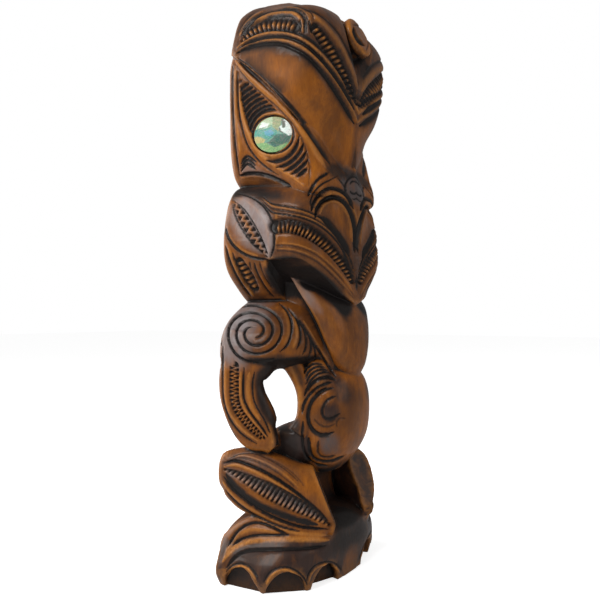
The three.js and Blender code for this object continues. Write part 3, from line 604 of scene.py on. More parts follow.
    def patch(self, outline, tone=None, soft=3.0, stain_and_shade=0.0, sink=0.0, grey_sheen=0.0):
        """An area of another colour, or a sunk one, with a soft border."""
        ring = drawn(list(outline) + [outline[0]], 5)
        at, d, _ = self.near(ring, soft, whole=True)
        d = np.abs(d)
        inside = within(ring, self.u[at], self.v[at])
        share = np.clip(0.5 + np.where(inside, d, -d) / (2 * soft), 0, 1)
        if tone is not None:
            self.tone[at] = self.tone[at] * (1 - share) + tone * share
        self.stain_and_shade[at] = np.maximum(self.stain_and_shade[at], stain_and_shade * share)
        self.cut[at] = np.maximum(self.cut[at], sink * share)
        self.grey_sheen[at] = np.maximum(self.grey_sheen[at], grey_sheen * share)


def ring_arc(centre, radii, start, end, count=9):
    """Points along part of an oval, by angle in degrees, counted from the right and upwards."""
    angles = np.radians(np.linspace(start, end, count))
    return [(centre[0] + radii[0] * math.cos(a), centre[1] - radii[1] * math.sin(a)) for a in angles]


def carve_brow(c):
    """Forehead, with its notched bands, and the smooth brow panel."""
    c.patch([(235, 54), (253, 47), (280, 46), (300, 54), (320, 70), (338, 92), (350, 112), (357, 127), (355, 172),
             (332, 168), (319, 143), (298, 115), (270, 84), (250, 66)], tone=0.04, soft=2)
    # Painted shade on the panel at its upper left corner, down its right edge and where it meets the nose; painted
    # shadow under the boss
    c.patch([(235, 54), (250, 49), (268, 48), (272, 60), (262, 74), (248, 64)], tone=0.55, soft=8)
    c.patch([(357, 118), (366, 128), (358, 150), (352, 172), (348, 160), (354, 140)], tone=0.6, soft=3)
    c.patch([(328, 156), (338, 163), (349, 169), (352, 176), (331, 172), (324, 162)], tone=0.9, soft=3, stain_and_shade=0.6)
    c.patch([(346.5, 47), (351, 53), (357.5, 57.6), (364.5, 58.6), (366, 62), (357, 64), (350, 59)], stain_and_shade=1.0, soft=1.2)
    c.patch([(338, 38), (348, 46), (356, 64), (360, 90), (357, 103), (350, 86), (343, 66)], tone=0.9, soft=2.5)
    # Painted shade under the bands at the panel's top and across its upper left corner
    c.shade([(236, 55), (246, 51), (257, 48), (270, 46.5), (284, 48), (296, 53), (308, 61), (318, 70), (328, 82),
             (337, 95), (346, 110), (354, 126)], 7, 0.85)
    c.shade([(242, 60), (256, 72), (270, 82), (284, 94)], 15, 0.8)
    # edge of the overhang, darkened with painted shade
    c.groove([(238, 58), (252, 71), (268, 84), (284, 99), (298, 115), (310, 131), (321, 147), (331, 164)], 3.2, 1.6, 0.9)
    c.groove([(360.5, 128), (357, 145), (354, 160), (352.5, 172)], 1.6, 0.6, 0.6)
    # the two plain ridges over the panel, and the cuts between them
    c.groove([(237, 52.8), (245, 48.8), (255, 45.3), (270, 43.3), (282, 44.2), (292, 48), (302, 53), (311, 60),
              (319, 68.5), (327, 78.5), (334, 89), (341, 100), (348, 112), (354.5, 124)], 3.1, 2.0)
    c.groove([(240, 47), (250, 41.8), (262, 38), (275, 36.3), (287, 37.2), (298, 41), (308, 47), (318, 56),
              (327, 66), (335, 76.5), (342, 87), (349, 99), (354, 110)], 2.7, 1.8)
    c.groove([(243, 42), (251, 36), (261, 31.6), (272, 29.6), (285, 30.4), (298, 33.5), (309, 39), (319, 47),
              (329, 57), (338, 69), (346, 81), (353, 94), (358, 106)], 2.0, 1.4)
    c.ridge([(236, 53), (242, 49), (252, 43.8), (263, 41.1), (275, 39.8), (287, 41), (298, 45), (308, 51), (318, 60),
             (328, 71), (336, 82), (343, 93), (350, 106), (355, 117), (358, 125)], 2.0, 0.6, 1.0)
    c.ridge([(237, 48), (242, 44), (250, 38.9), (260, 34.7), (272, 32.6), (285, 33.2), (297, 36.8), (307, 42.3),
             (317, 50.5), (326, 60), (335, 71), (343, 82), (350, 94), (356, 107), (360, 119)], 1.9, 0.6, 1.0)
    # left notched band and the loops that close it
    c.teeth([(241.5, 40.5), (247, 34), (254, 29), (262, 25.6), (270, 23.8), (280, 23.2), (289, 23.8), (295, 25.5)],
            [1.8, 4.8, 6.8, 7.6, 7.8, 7.6, 7.0], 12, 0.5, 0.6, 2.6, 0.4)
    c.groove([(241, 36), (246, 28), (254, 20), (263, 14.5), (273, 11.2), (285, 10), (296, 10.7), (303, 16),
              (306, 24), (306.5, 33)], 1.7, 1.2)
    c.groove([(243, 37), (249, 29.5), (256, 23.5), (264, 19), (274, 16), (285, 15.2), (292, 16), (295, 19)], 1.4, 1.2)
    c.ridge([(242, 36.5), (248, 28), (255, 21.6), (263, 16.9), (273, 13.4), (284, 12.2), (293, 12.8), (299, 17),
             (302, 24), (302.5, 32)], 2.0, 0.5, 0.9)
    c.ridge([(239.5, 36), (244, 27), (252, 18.5), (262, 12.2), (273, 9), (286, 8), (298, 9), (306.5, 15), (310, 22),
             (311, 34)], 2.0, 0.5, 0.7)
    c.groove([(238.5, 33), (244, 23), (252, 14.5), (263, 8.8), (276, 6), (290, 5.5), (302, 8), (311, 13), (314, 20)],
             1.2, 0.7, 0.7)
    c.groove([(240, 33), (247, 23.5), (256, 16.5), (266, 11.6), (278, 9.0), (290, 8.4), (300, 10), (306, 15.5),
              (309, 24)], 0.9, 0.7, 0.8)
    c.ridge([(296.5, 20), (297.8, 25), (297.8, 31)], 1.6, 0.5, 0.9)
    c.groove([(300, 19), (300.6, 25), (300.4, 32)], 1.1, 1.2)
    c.groove([(304, 22), (304.6, 28), (304.6, 34)], 1.1, 1.2)
    c.groove([(309, 20), (310, 27), (312, 34)], 1.2, 1.2)
    c.ridge([(311, 22), (312.5, 28), (315, 36)], 1.6, 0.5, 0.9)
    # right notched band
    c.teeth([(315.5, 27), (322, 36), (329, 45.5), (336, 57), (342.5, 69), (348, 80.5), (352.5, 92), (357, 103)],
            [5.8, 7.4, 7.2, 6.6, 5.8, 4.8, 2.8], 16, 0.3, 0.55, 2.6, 0.4)
    c.ridge([(307, 12), (315, 17), (324, 24.5), (333, 34.5), (341, 46), (348, 60), (354, 75), (358, 90)], 2.6, 0.5, 0.55)
    c.groove([(303, 8), (314, 12), (325, 19), (335, 29), (343, 41), (350, 55), (356, 71), (359.5, 86)], 1.3, 0.8, 0.8)
    c.ridge([(360, 84), (360.7, 98), (361, 112), (361, 124)], 1.6, 0.5, 0.8)


def carve_boss(c):
    # Painted shadow along the boss's lower left side
    c.shade([(344, 22), (345, 32), (349, 44), (356, 54), (364, 57)], 2.0, 0.8)
    c.groove([(353.6, 27), (354.4, 33), (356.8, 38.5), (360.4, 43), (364.6, 45.6)], 2.2, 2.0, 1.0, 0.25)
    c.groove([(344.8, 24), (345.2, 31), (347, 39), (350.5, 47), (355, 54), (361, 58.6)], 1.2, 0.9, 0.9)
    c.groove([(352.5, 25), (358, 25.5), (364, 30.5), (367.5, 37.5), (368.3, 45), (366, 51)], 1.0, 0.7, 0.6)
    c.ridge([(347.5, 24), (348, 32), (350.2, 40), (354, 47), (359.5, 52), (365.5, 53.5)], 2.2, 0.4, 0.7)
    c.ridge([(353.5, 31), (357, 37), (362, 41.5)], 2.6, 0.6, 0.6)


def carve_eye_panel(c):
    """Nested cuts round the eye, between two long borders that meet at both ends."""
    eye = (273.2, 134.4)
    c.patch([(299, 118), (318, 146), (328, 166), (309, 193), (296, 178), (308, 160), (305, 138)], tone=0.1, soft=3)
    c.patch([(238, 174), (262, 173), (292, 187), (300, 194), (260, 192), (238, 188)], tone=0.45, soft=3)
    c.patch([(229, 60), (236, 70), (236, 120), (240, 176), (233, 170), (229, 120)], tone=0.55, soft=2)
    # under the brow, darkened with painted shade from the overhang
    c.groove([(238, 60), (252, 73), (268, 87), (284, 102), (298, 118), (310, 134), (321, 150), (330, 164)], 3.2, 1.0, 0.9)
    c.ridge([(236, 61), (247, 74), (260, 87), (274, 99.5), (288, 113), (300, 128), (310, 143), (319, 157), (326, 168)],
            3.4, 0.7, 0.85)
    c.groove([(237, 66), (245, 77), (256, 88.5), (268, 99), (279, 109), (290, 120.5), (299, 134), (306, 149),
              (309.5, 166), (309, 186)], 1.2, 0.6, 0.6)
    # left border
    c.groove([(232.6, 66), (232.3, 90), (232.8, 115), (234.5, 140), (237, 160), (239.5, 176)], 1.3, 1.2, 0.9)
    c.ridge([(235.4, 66), (235.2, 90), (236, 112), (238.5, 135), (240, 152)], 1.7, 0.5, 0.8)
    c.groove([(237.8, 72), (237.6, 92), (239, 112), (242.5, 130), (247.5, 145), (255.5, 157), (266, 167), (278, 175)],
             1.3, 1.2, 0.9)
    c.ridge([(239.4, 84), (240.4, 101), (243.5, 119), (248.5, 134), (255.5, 147.5), (265, 158), (278, 167.5),
             (292, 176), (304, 186)], 2.1, 0.6, 1.0)
    c.groove([(241.8, 84), (243, 101), (246.5, 117), (251.5, 131), (258.5, 144), (268, 154)], 1.1, 1.0, 0.9)
    c.ridge([(244, 98), (246.5, 111), (250.5, 123), (254, 132)], 1.2, 0.4, 0.7)
    c.groove([(240, 175.8), (249, 173.6), (259, 173.8), (270, 176.5), (281, 181.5), (291.5, 187.5)], 2.9, 2.0)
    # Grey patina and painted sheen below the eye
    c.patch([(240, 172), (246, 158), (262, 170), (280, 178), (262, 175), (244, 175)], soft=2, grey_sheen=0.45)
    c.ridge([(241, 178.3), (250, 176.4), (260, 176.8), (270, 179.3), (279, 183.2)], 1.3, 0.5, 0.3)
    for shift in (0, 3.8, 7.6):
        c.groove([(241, 171.6 - shift), (244, 166.5 - shift), (247, 164 - shift), (250.5, 165.5 - shift),
                  (256, 169.5 - shift)], 2.0, 1.4, 1.0, 0.3)
    # cuts above and below the shell
    c.groove(ring_arc(eye, (20.2, 18.6), 0, 360, 25), 1.5, 1.2, 1.0, 0.001)
    c.ridge(ring_arc(eye, (22.8, 21.0), 60, 330, 20), 1.7, 0.4, 0.8)
    before = c.copy()
    for radius, start, end in ((25, 72, 186), (29, 82, 178), (33.5, 92, 170), (38, 99, 163), (42.8, 104, 156),
                               (47.6, 108.5, 149), (52.4, 112, 142), (57.5, 115.5, 136)):
        c.groove(ring_arc(eye, (radius * 0.93, radius), start, end), 2.7, 1.8, 1.0, 0.3)
    c.trim([(238.6, 73), (248, 82), (258, 92), (270, 103.5), (283, 117), (293, 130), (294, 150), (272, 160),
            (256.5, 144), (249.5, 130), (244.4, 114), (241, 98)], before)
    for radius, start, end in ((27, -104, -4), (33, -84, -14), (38.6, -73, -25), (44, -65, -34), (49, -60, -43)):
        c.groove(ring_arc(eye, (radius * 0.95, radius), start, end), 2.8, 1.9, 1.0, 0.3)
    c.groove([(239.5, 83), (240.7, 80.5), (242, 82)], 1.6, 1.0, 0.7, 0.3)


def carve_nose(c):
    """The nostril arches and the bridge between them."""
    c.patch([(324, 214), (327, 206), (336, 202.5), (345, 210), (349, 224), (348, 240), (340, 232), (330, 220)],
            tone=0.35, soft=2, sink=0.6)
    # Dark round the nose spiral, with grey patina and painted sheen
    c.patch([(340, 176), (352, 173), (363, 177), (366, 190), (361, 204), (351, 201), (343, 191)], tone=0.95, soft=2,
            grey_sheen=0.25)
    c.groove(ring_arc((354, 188), (8.6, 11.2), -100, 215, 21), 1.5, 1.0, 0.9)
    c.groove(ring_arc((354, 187.5), (4.4, 6.4), -150, 150, 17), 1.4, 0.9, 1.0)
    # Painted shade where the brow overhangs the bridge of the nose
    c.patch([(324, 165), (334, 163), (347, 166), (355, 172), (354, 178), (344, 180), (331, 176)], stain_and_shade=0.75, soft=2)
    c.groove([(311.5, 211), (314.5, 202), (320, 194.5), (328, 189), (336, 188.8), (344, 193), (349.5, 200), (353.5, 209)],
             2.7, 2.2)
    c.groove([(315.5, 218), (317.5, 209), (322.5, 202), (330, 198), (338, 198.3), (345.5, 203.5), (351, 213),
              (354.5, 226), (355.5, 240), (354.5, 252)], 3.3, 2.4)
    c.ridge([(313.5, 214), (316, 205.5), (321.5, 198), (329, 193.6), (337, 193.4), (344.5, 198), (351, 206), (356, 219),
             (358, 232)], 1.9, 0.5, 0.9)
    c.ridge([(320, 214), (322.5, 207), (329, 202), (337, 201.8), (344, 207.5), (349, 217), (351.5, 229), (352, 242)],
            1.8, 0.5, 0.8)
    c.groove([(319, 216), (326, 220.5), (333, 228), (340, 237.5), (346, 247), (350, 256)], 4.6, 2.6, 1.0, 0.25)
    c.groove([(310, 206), (312, 197), (317, 189), (324, 183), (332, 179.5)], 1.3, 1.0, 0.9)
    c.groove([(316, 190), (322, 184.8), (330, 180), (338, 176)], 1.0, 0.7, 0.8)
    c.groove([(308, 196), (313, 186), (320, 178), (329, 172.5)], 2.2, 1.2, 1.0)
    c.groove([(338, 178), (343, 184), (347, 191)], 1.2, 0.8, 0.8)
    c.groove([(357.5, 206), (359.5, 218), (360, 232), (357, 247)], 1.8, 1.5, 1.0)


def carve_jaw(c):
    """The leaf, the upper lip with its long notched band, and the lower corner of the jaw."""
    c.patch([(234, 199), (246, 196), (260, 203), (270, 217), (273, 234), (272, 250), (268, 258), (254, 256),
             (240, 249), (230, 238), (226, 224), (228, 210)], tone=0.5, soft=1.5)
    # Grey patina and painted sheen on the leaf's petals
    c.patch([(234, 199), (246, 196), (260, 203), (270, 217), (273, 234), (272, 250), (268, 258), (262, 246),
             (254, 232), (246, 218), (238, 206)], soft=2, grey_sheen=0.85)
    c.patch([(229, 212), (234, 206), (244, 226), (256, 246), (260, 252), (246, 244), (234, 230)], soft=3, grey_sheen=0.75)
    c.patch([(275, 236), (292, 235), (308, 242), (326, 254), (342, 270), (354, 288), (353, 293), (338, 277),
             (320, 262), (302, 250), (288, 245), (275, 245)], tone=0.12, soft=1.5)
    c.patch([(276, 245), (292, 246), (308, 253), (326, 266), (343, 283), (354, 298), (348, 296), (330, 278),
             (310, 264), (292, 255), (276, 255)], tone=0.55, soft=1.5)
    c.patch([(252, 262), (266, 261), (270, 275), (280, 290), (286, 298), (274, 297), (262, 284), (255, 272)],
            tone=0.12, soft=2)
    c.patch([(262, 193), (290, 200), (300, 206), (276, 206), (266, 200)], tone=0.55, soft=4)
    # Painted shade on the top face of the jaw
    c.patch([(232, 188), (250, 186), (276, 192), (282, 199), (262, 199), (246, 195), (233, 199)], tone=1.0, soft=3,
            stain_and_shade=0.8)
    # leaf
    c.zigzag([(234, 201.5), (240, 212.5), (247.5, 226), (256, 240), (267, 256)], [1.6, 4.8, 5.6, 5.4, 2.0], 9.5)
    for side in (-6.4, 6.6):
        c.groove([(234.5 + side * 0.3, 203 - side * 0.1), (240 + side * 0.75, 213 - side * 0.4),
                  (247.5 + side * 0.88, 226 - side * 0.48), (256 + side * 0.75, 240 - side * 0.4),
                  (265 + side * 0.3, 253 - side * 0.1)], 1.1, 0.9, 0.9)
    c.ridge([(235, 197.5), (247, 201), (257, 210), (264.5, 222), (268.5, 235), (269.5, 248), (268, 257)], 2.2, 0.4, 0.55)
    c.groove([(238, 193.5), (251, 197), (262.5, 205), (270, 216.5), (273.6, 230), (274, 245), (270.5, 257.5)], 1.5, 1.3)
    c.groove([(224.5, 226), (228.5, 238), (236, 248), (246, 255), (257, 258.8), (268, 259.5)], 2.0, 1.8)
    c.ridge([(227.5, 232), (234, 243.5), (245, 251.5), (258, 256)], 1.8, 0.4, 0.8)
    c.ridge([(276, 210), (276.4, 222), (276.4, 236), (275.6, 250)], 1.5, 0.3, 0.5)
    # lines above the lip
    for k, dark in ((0, 0.9), (4.6, 0.7), (8.4, 1.0)):
        c.groove([(262, 195.5 + k * 0.7), (272, 203.5 + k), (288, 206.5 + k), (304, 210 + k), (320, 217.5 + k),
                  (333, 228.5 + k), (343, 242 + k), (350, 258 + k), (354.5, 272 + k * 0.6)], 1.2, 1.0, dark)
    c.ridge([(262, 198), (273, 206), (289, 209), (305, 212.6), (320, 220), (332, 230.5), (342, 244), (349, 259)],
            1.3, 0.4, 0.6)
    c.ridge([(274, 215), (288, 215), (303, 216.8), (316, 221.6), (328, 230), (339, 242), (348, 257), (354, 272)],
            1.2, 0.5, 0.9)
    c.teeth([(276, 226.5), (288, 225.5), (300, 228), (312, 233.2), (324, 241.5), (335, 252.5), (345, 266), (353, 281)],
            [8.0, 8.4, 8.2, 7.8, 7.2, 6.4, 5.4, 3.6], 23, 0.4, 0.64, 2.6, 0.46)
    c.ridge([(276, 243.4), (290, 243.6), (303, 246.4), (317, 253), (331, 264.5), (345, 280), (354, 294)], 1.0, 0.4, 0.6)
    c.groove([(276, 245.2), (290, 245.6), (303, 248.6), (317, 255.6), (331, 267.2), (345, 282.6)], 0.9, 0.6, 0.6)
    c.ridge([(276, 248.6), (290, 249), (303, 252.2), (317, 259), (331, 270.8), (345, 286), (353, 297)], 1.0, 0.4, 0.5)
    c.groove([(277, 251), (290, 251.6), (303, 255), (317, 262), (331, 274), (345, 289)], 0.9, 0.6, 0.6)
    # far down the middle
    c.patch([(350, 248), (357, 246), (358, 262), (355, 276), (351, 264)], tone=0.7, soft=2)
    c.groove([(358.5, 248), (359, 262), (357.5, 276), (357, 290)], 1.6, 1.4, 1.0)
    # lower corner
    c.teeth([(239, 261.5), (243.5, 270), (249, 279.5), (255.5, 289)], [4.6, 6.2, 6.4, 4.0], 6, 0.5, 0.5, 2.4, 0.4)
    c.groove([(225.5, 246), (229, 259), (234.5, 272), (242, 285), (251, 297)], 1.5, 1.2, 0.9)
    c.ridge([(228.5, 247), (232, 259), (237.5, 271.5), (245, 284), (254, 296)], 1.8, 0.4, 0.8)
    c.groove([(232, 252), (235.4, 262), (240.5, 273), (247.5, 284.5), (256, 294)], 1.2, 1.0, 0.9)
    c.groove([(254, 262), (256, 270), (260.5, 280), (267, 290), (274, 297.5)], 1.3, 1.1, 0.9)
    c.groove([(259.5, 262), (261.5, 270), (266, 279.5), (273, 289)], 1.1, 0.9, 0.8)
    c.groove([(249.5, 262), (251, 270)], 1.0, 0.8, 0.8)


def paint_hollow_shade(c):
    """Painted shade in the hollow under the upper lip, with a lighter painted sheen on the lit edge of the tongue."""
    c.patch([(268, 262), (276, 257.5), (292, 256), (308, 263), (328, 277), (346, 297), (352, 308), (345, 317),
             (330, 303), (310, 288), (291, 275), (287, 296), (276, 292), (266, 276)], tone=1.0, soft=2, stain_and_shade=1.0)
    # Lighter, with painted sheen, on the lit edge of the tongue
    c.patch([(290, 274), (302, 283), (314, 296), (322, 312), (312, 308), (300, 296), (292, 285)], tone=0.4, soft=2, grey_sheen=0.4)


def carve_trunk(c):
    """Shoulder spiral, arm, chest and belly."""
    centre = (253.5, 331.5)
    c.patch([(220, 340), (226, 318), (246, 302), (270, 304), (284, 322), (268, 336), (262, 352), (240, 366),
             (224, 356)], tone=0.75, soft=8)
    # Painted sheen, with some grey patina, on the shoulder's upper left
    c.patch([(220, 340), (224, 320), (238, 304), (256, 302), (262, 314), (250, 330), (244, 350), (240, 364),
             (224, 358)], soft=9, grey_sheen=1.0)
    c.patch([(262, 344), (286, 336), (300, 345), (318, 366), (300, 372), (282, 358), (262, 358)], tone=0.12, soft=4)
    for arm in (0, 1):
        points = []
        for k in range(27):
            turn = math.pi * (0.55 + arm) + k * math.pi / 7
            radius = 5.2 + 17.2 * (k * math.pi / 7) / (2 * math.pi)
            du, dv = math.cos(turn) * radius, -math.sin(turn) * radius
            points.append((centre[0] + du * (1.08 if du > 0 else 0.96), centre[1] + dv * (0.86 if dv < 0 else 1.02)))
            if radius > 31 + 4 * arm:
                break
        c.groove(points, 1.9, 1.7, 1.0, 0.06)
    for line, width in (([(279, 303), (287, 311), (291.5, 322), (291.5, 334), (287.5, 345), (280, 352)], 1.7),
                        ([(288, 308), (296, 318), (300.5, 330), (300.5, 341), (296.5, 350)], 1.6),
                        ([(297, 318), (303.5, 328), (306.5, 338), (306, 348), (302.5, 355)], 1.5),
                        ([(305, 328), (310, 338), (311.5, 348), (309, 357)], 1.4),
                        ([(311, 340), (315, 349), (315.5, 357), (313.5, 361)], 1.3)):
        c.groove(line, width, 1.4, 0.95, 0.2)
    c.ridge([(283.5, 308), (288, 320), (288.5, 333), (284, 345)], 2.2, 0.4, 0.3)
    c.ridge([(293, 316), (296.5, 328), (296.8, 338), (293, 348)], 2.2, 0.4, 0.55)
    c.groove([(300, 320), (309, 335), (318, 349.5), (327, 364), (336, 377)], 1.5, 1.3)
    c.ridge([(303, 320), (312, 335), (321, 350), (330, 365)], 1.2, 0.4, 0.5)
    # arm, and painted shade round the gap, in it and below the belly
    c.patch([(257, 372), (268, 364), (286, 366), (276, 372), (266, 382), (266, 398), (276, 418), (284, 430),
             (276, 440), (270, 426), (259, 408), (255, 390)], tone=0.95, soft=2.5, stain_and_shade=0.75)
    c.patch([(276, 424), (298, 420), (300, 440), (298, 456), (284, 456), (275, 446)], tone=1.0, soft=3, stain_and_shade=0.6,
            grey_sheen=0.1)
    c.patch([(298, 462), (312, 466), (330, 466), (348, 460), (352, 476), (340, 500), (334, 520), (318, 505),
             (306, 480)], stain_and_shade=1.0, soft=3)
    c.patch([(329, 384), (343, 381), (353, 390), (352, 404), (341, 403), (333, 396)], tone=0.85, soft=4)
    c.patch([(323, 406), (334, 402), (340, 410), (336, 420), (325, 421)], tone=0.9, soft=2.5)
    # Grey patina and painted sheen
    c.patch([(320, 436), (336, 436), (338, 452), (322, 452)], tone=0.8, soft=3, grey_sheen=0.25)
    c.shade([(262, 360), (276, 357), (290, 360), (298, 372), (303, 388)], 6, 0.7)
    c.zigzag([(234, 366), (233.8, 378), (233.8, 390), (234.6, 402), (238.6, 412), (245, 420.8), (253, 429.6),
              (263, 438.6)], [5.0, 5.4, 5.4, 5.2, 5.0, 4.8, 4.4, 2.8], 21, 2.0, -0.4)
    c.groove([(222.6, 346), (222.6, 370), (222.8, 395), (226.5, 412), (234, 425.5), (244, 436), (257, 444)], 1.3, 1.1)
    c.ridge([(225.3, 362), (225, 380), (225.6, 397), (229.2, 411), (236.5, 423), (246, 432.5), (258, 441)], 1.5, 0.4, 0.9)
    c.ridge([(241, 370), (240.4, 384), (241, 398), (245, 409), (251.5, 418.5), (259, 427.5), (266.5, 437)], 1.7, 0.4, 0.9)
    c.groove([(244, 368), (243.2, 384), (243.8, 398), (248.2, 409), (255, 419), (262, 428), (268, 437)], 1.5, 1.3)
    c.ridge([(249.5, 372), (247.8, 385), (248.5, 398), (252.6, 409), (260, 420)], 2.6, 0.4, 0.7)
    c.groove([(254.5, 372), (252.6, 385), (253.4, 398), (257.8, 409), (265, 421), (270.5, 434)], 1.3, 1.0, 0.9)
    c.ridge([(268, 424), (272.5, 434), (273.5, 444)], 3.0, 0.4, 0.7)
    c.groove([(276.5, 424), (278.5, 436), (277, 447)], 1.5, 1.4)
    # forearm beside the gap, and the fingers
    c.ridge([(292, 368), (297.5, 382), (300, 396), (300, 410)], 2.8, 0.3, 0.8)
    for k in range(4):
        c.groove([(304.3 + k * 0.7, 374 + k * 5.2), (306 + k * 1.2, 369 + k * 4.4), (310.5 + k * 1.6, 365 + k * 3.7),
                  (316.5 + k * 2.2, 363.3 + k * 3.0), (323 + k * 2.4, 364.5 + k * 2.8)], 1.6, 1.5, 1.0, 0.2)
    c.groove([(304.5, 396), (307.5, 389), (313.5, 382.5), (321, 378.5), (329, 377.5), (336, 380)], 2.6, 1.8, 1.0, 0.2)
    # belly
    c.groove([(302, 413), (304, 404), (308.5, 396), (315, 389.5), (323, 385), (332, 382)], 2.0, 1.2)
    c.groove([(333, 388), (324.5, 390), (316.5, 395.5), (310.5, 404), (308, 415), (310, 426), (316, 433.5),
              (325, 435.8), (334, 432)], 2.7, 1.5)
    c.groove([(336, 396), (328.5, 399.5), (323.5, 405.5), (322, 413), (326, 418.6), (333, 418), (340, 413.5)], 2.1, 1.3,
             0.9)
    c.groove([(314, 419), (319, 424.5), (327, 427), (335, 424)], 1.4, 0.7, 0.6)
    c.groove([(337, 427), (337, 421.5), (341, 418), (345.5, 419)], 1.3, 0.6, 0.5)
    c.groove([(303, 421), (302.4, 436), (303.6, 449), (308, 458.5), (316, 464.5), (328, 466)], 2.1, 1.3)
    c.groove([(309, 438), (309.6, 448), (313, 457), (321, 461), (332, 461), (344, 456)], 2.1, 1.2)
    c.groove([(318.5, 441), (317.6, 449), (320, 455.5), (327, 457.5), (335, 455.5)], 1.7, 0.9, 0.8)
    c.groove([(361, 374), (365, 388), (367.5, 402)], 1.7, 1.0, 0.8)
    c.groove([(308, 419), (313, 429), (321, 434), (328, 433)], 1.6, 1.2, 0.9)
    c.groove([(308, 438), (309, 451), (314.5, 458)], 1.3, 1.0, 0.9)
    c.patch([(324, 418), (331, 416.5), (336, 420), (329, 422.5)], stain_and_shade=0.8, soft=1.5)
    c.patch([(318, 372), (330, 366), (342, 376), (340, 392), (326, 386), (318, 380)], tone=0.8, soft=4)


def carve_legs(c):
    # Painted shadow of the far knee and calf, on the thighs and the base
    c.patch([(334, 500), (350, 504), (368, 512), (374, 524), (356, 530), (338, 528), (333, 516)], stain_and_shade=1.0, soft=4)
    c.patch([(336, 528), (356, 532), (350, 548), (332, 552)], stain_and_shade=0.7, soft=6)
    c.patch([(312, 471), (320, 486), (330, 508), (336, 524), (330, 540), (300, 536), (330, 526), (318, 503)],
            tone=0.12, soft=2)
    # Grey patina and painted sheen on the top of the thigh
    c.patch([(222, 462), (240, 452), (262, 456), (284, 470), (262, 470), (240, 463), (224, 466)], tone=0.6, soft=4, grey_sheen=0.12)
    c.ridge([(231, 456.5), (244, 455.6), (258, 459.5), (272, 466), (286, 475.5), (298, 487)], 1.2, 0.35, 0.6)
    c.groove([(233, 458.8), (245, 458.2), (258, 462), (272, 469), (286, 479), (297, 489)], 1.0, 0.7, 0.6)
    c.groove([(252, 452), (266, 457), (280, 464), (294, 474), (304, 486)], 0.9, 0.5, 0.5)
    c.groove([(223.5, 463), (235, 460.6), (248, 464.6), (262, 470.6), (277, 479), (292, 489.4), (306, 500.4),
              (318, 511), (328, 520.6)], 2.4, 1.8)
    c.ridge([(224, 467), (236, 464.8), (249, 469), (263, 475.4), (278, 484), (293, 494), (307, 504.6), (320, 515),
             (329, 522)], 2.0, 0.5, 1.0)
    c.groove([(226, 474), (233, 484), (244, 494.5), (257, 503.4), (272, 510.8), (288, 517), (304, 521.6),
              (318, 525)], 4.4, 0.5, 1.0)
    # Grey patina and painted sheen on the notched bars
    c.patch([(226, 468), (243, 472), (262, 480), (284, 492), (304, 503), (326, 520), (304, 514), (284, 506),
             (262, 494), (242, 482), (228, 474)], soft=2, grey_sheen=0.5)
    c.teeth([(224.5, 469.6), (233, 472.4), (243, 477.4), (258, 485.6), (272.5, 493.2), (287.5, 500.8), (302.5, 508.4),
             (316, 516), (330, 525.6)], [1.8, 4.6, 7.0, 9.0, 9.4, 8.8, 7.4, 5.2, 2.0], 25, 0.5, 0.74, 2.2, 0.42)
    c.groove([(223.4, 476), (231, 487.4), (242, 497.6), (255, 507.2), (269, 515.4), (284, 522), (299, 526.4),
              (314, 528.6), (328, 529.4)], 2.2, 1.8)
    c.ridge([(222.4, 481), (231, 493), (243, 503.6), (257, 512.4), (272, 519.6), (287, 525)], 1.6, 0.5, 0.9)
    c.groove([(226, 491), (237, 503), (251, 513), (266, 520.6), (282, 527), (300, 531.4)], 1.5, 1.2, 0.9)
    c.ridge([(232, 501.4), (244, 511), (258, 518), (273, 525), (290, 531.4), (308, 534.6), (328, 535)], 2.4, 0.5, 0.9)
    c.groove([(228, 459.5), (240, 454.2), (254, 453.6), (268, 459), (284, 468.6), (298, 481)], 0.8, 0.5, 0.7)
    c.groove([(240, 470), (254, 476), (268, 483.6), (284, 492.4), (300, 502), (316, 513)], 0.8, 0.4, 0.5)
    # calf
    c.groove([(228.5, 546), (236.5, 532.6), (247, 524.6), (259, 522.6), (272, 527), (281, 531.6), (288.5, 534.6)], 2.0,
             1.6)
    c.groove([(233, 545), (243, 538.4), (257, 535.4), (272, 535.2), (288.5, 535.4)], 1.8, 1.4)
    c.ridge([(225, 555), (232, 543), (240, 533.6), (252, 529.4), (266, 530.6), (278, 533)], 2.6, 0.4, 0.7)
    c.ridge([(222.6, 562), (232, 550), (246, 542.6), (264, 540), (286, 539.2), (308, 539.6), (329, 540)], 3.4, 0.5, 1.0)
    c.groove([(226, 568), (236, 556.4), (248, 550.8), (266, 549.6), (288, 549.2), (308, 548.4), (326, 546)], 2.6, 1.6)


def carve_base(c):
    c.patch([(222, 560), (232, 552), (232, 566), (224, 576)], tone=0.5, soft=4)
    c.patch([(350, 548), (360, 545), (360, 562), (349, 570), (345, 562)], tone=0.3, soft=3)
    for points in ([(227.5, 575), (230.5, 570.4), (235.4, 567), (241.5, 566), (247.6, 568.4), (252.4, 573.6),
                    (256.4, 581)],
                   [(266, 585), (269.6, 577.6), (275, 572.4), (282, 569.8), (289, 570.4), (296, 574), (301.6, 580),
                    (305, 587)],
                   [(308.6, 583), (310.4, 576), (314.6, 569.6), (321, 565.6), (328.6, 564.4), (335, 567), (339.6, 573)],
                   [(360.4, 553), (361.6, 545), (364, 539), (367, 536)]):
        c.ridge(points, 1.2, 0.5, 0.8)
        outer = [(u + 0.12 * (u - np.mean([p[0] for p in points])), v - 2.6) for u, v in points]
        c.groove(outer, 1.3, 0.9, 0.9)


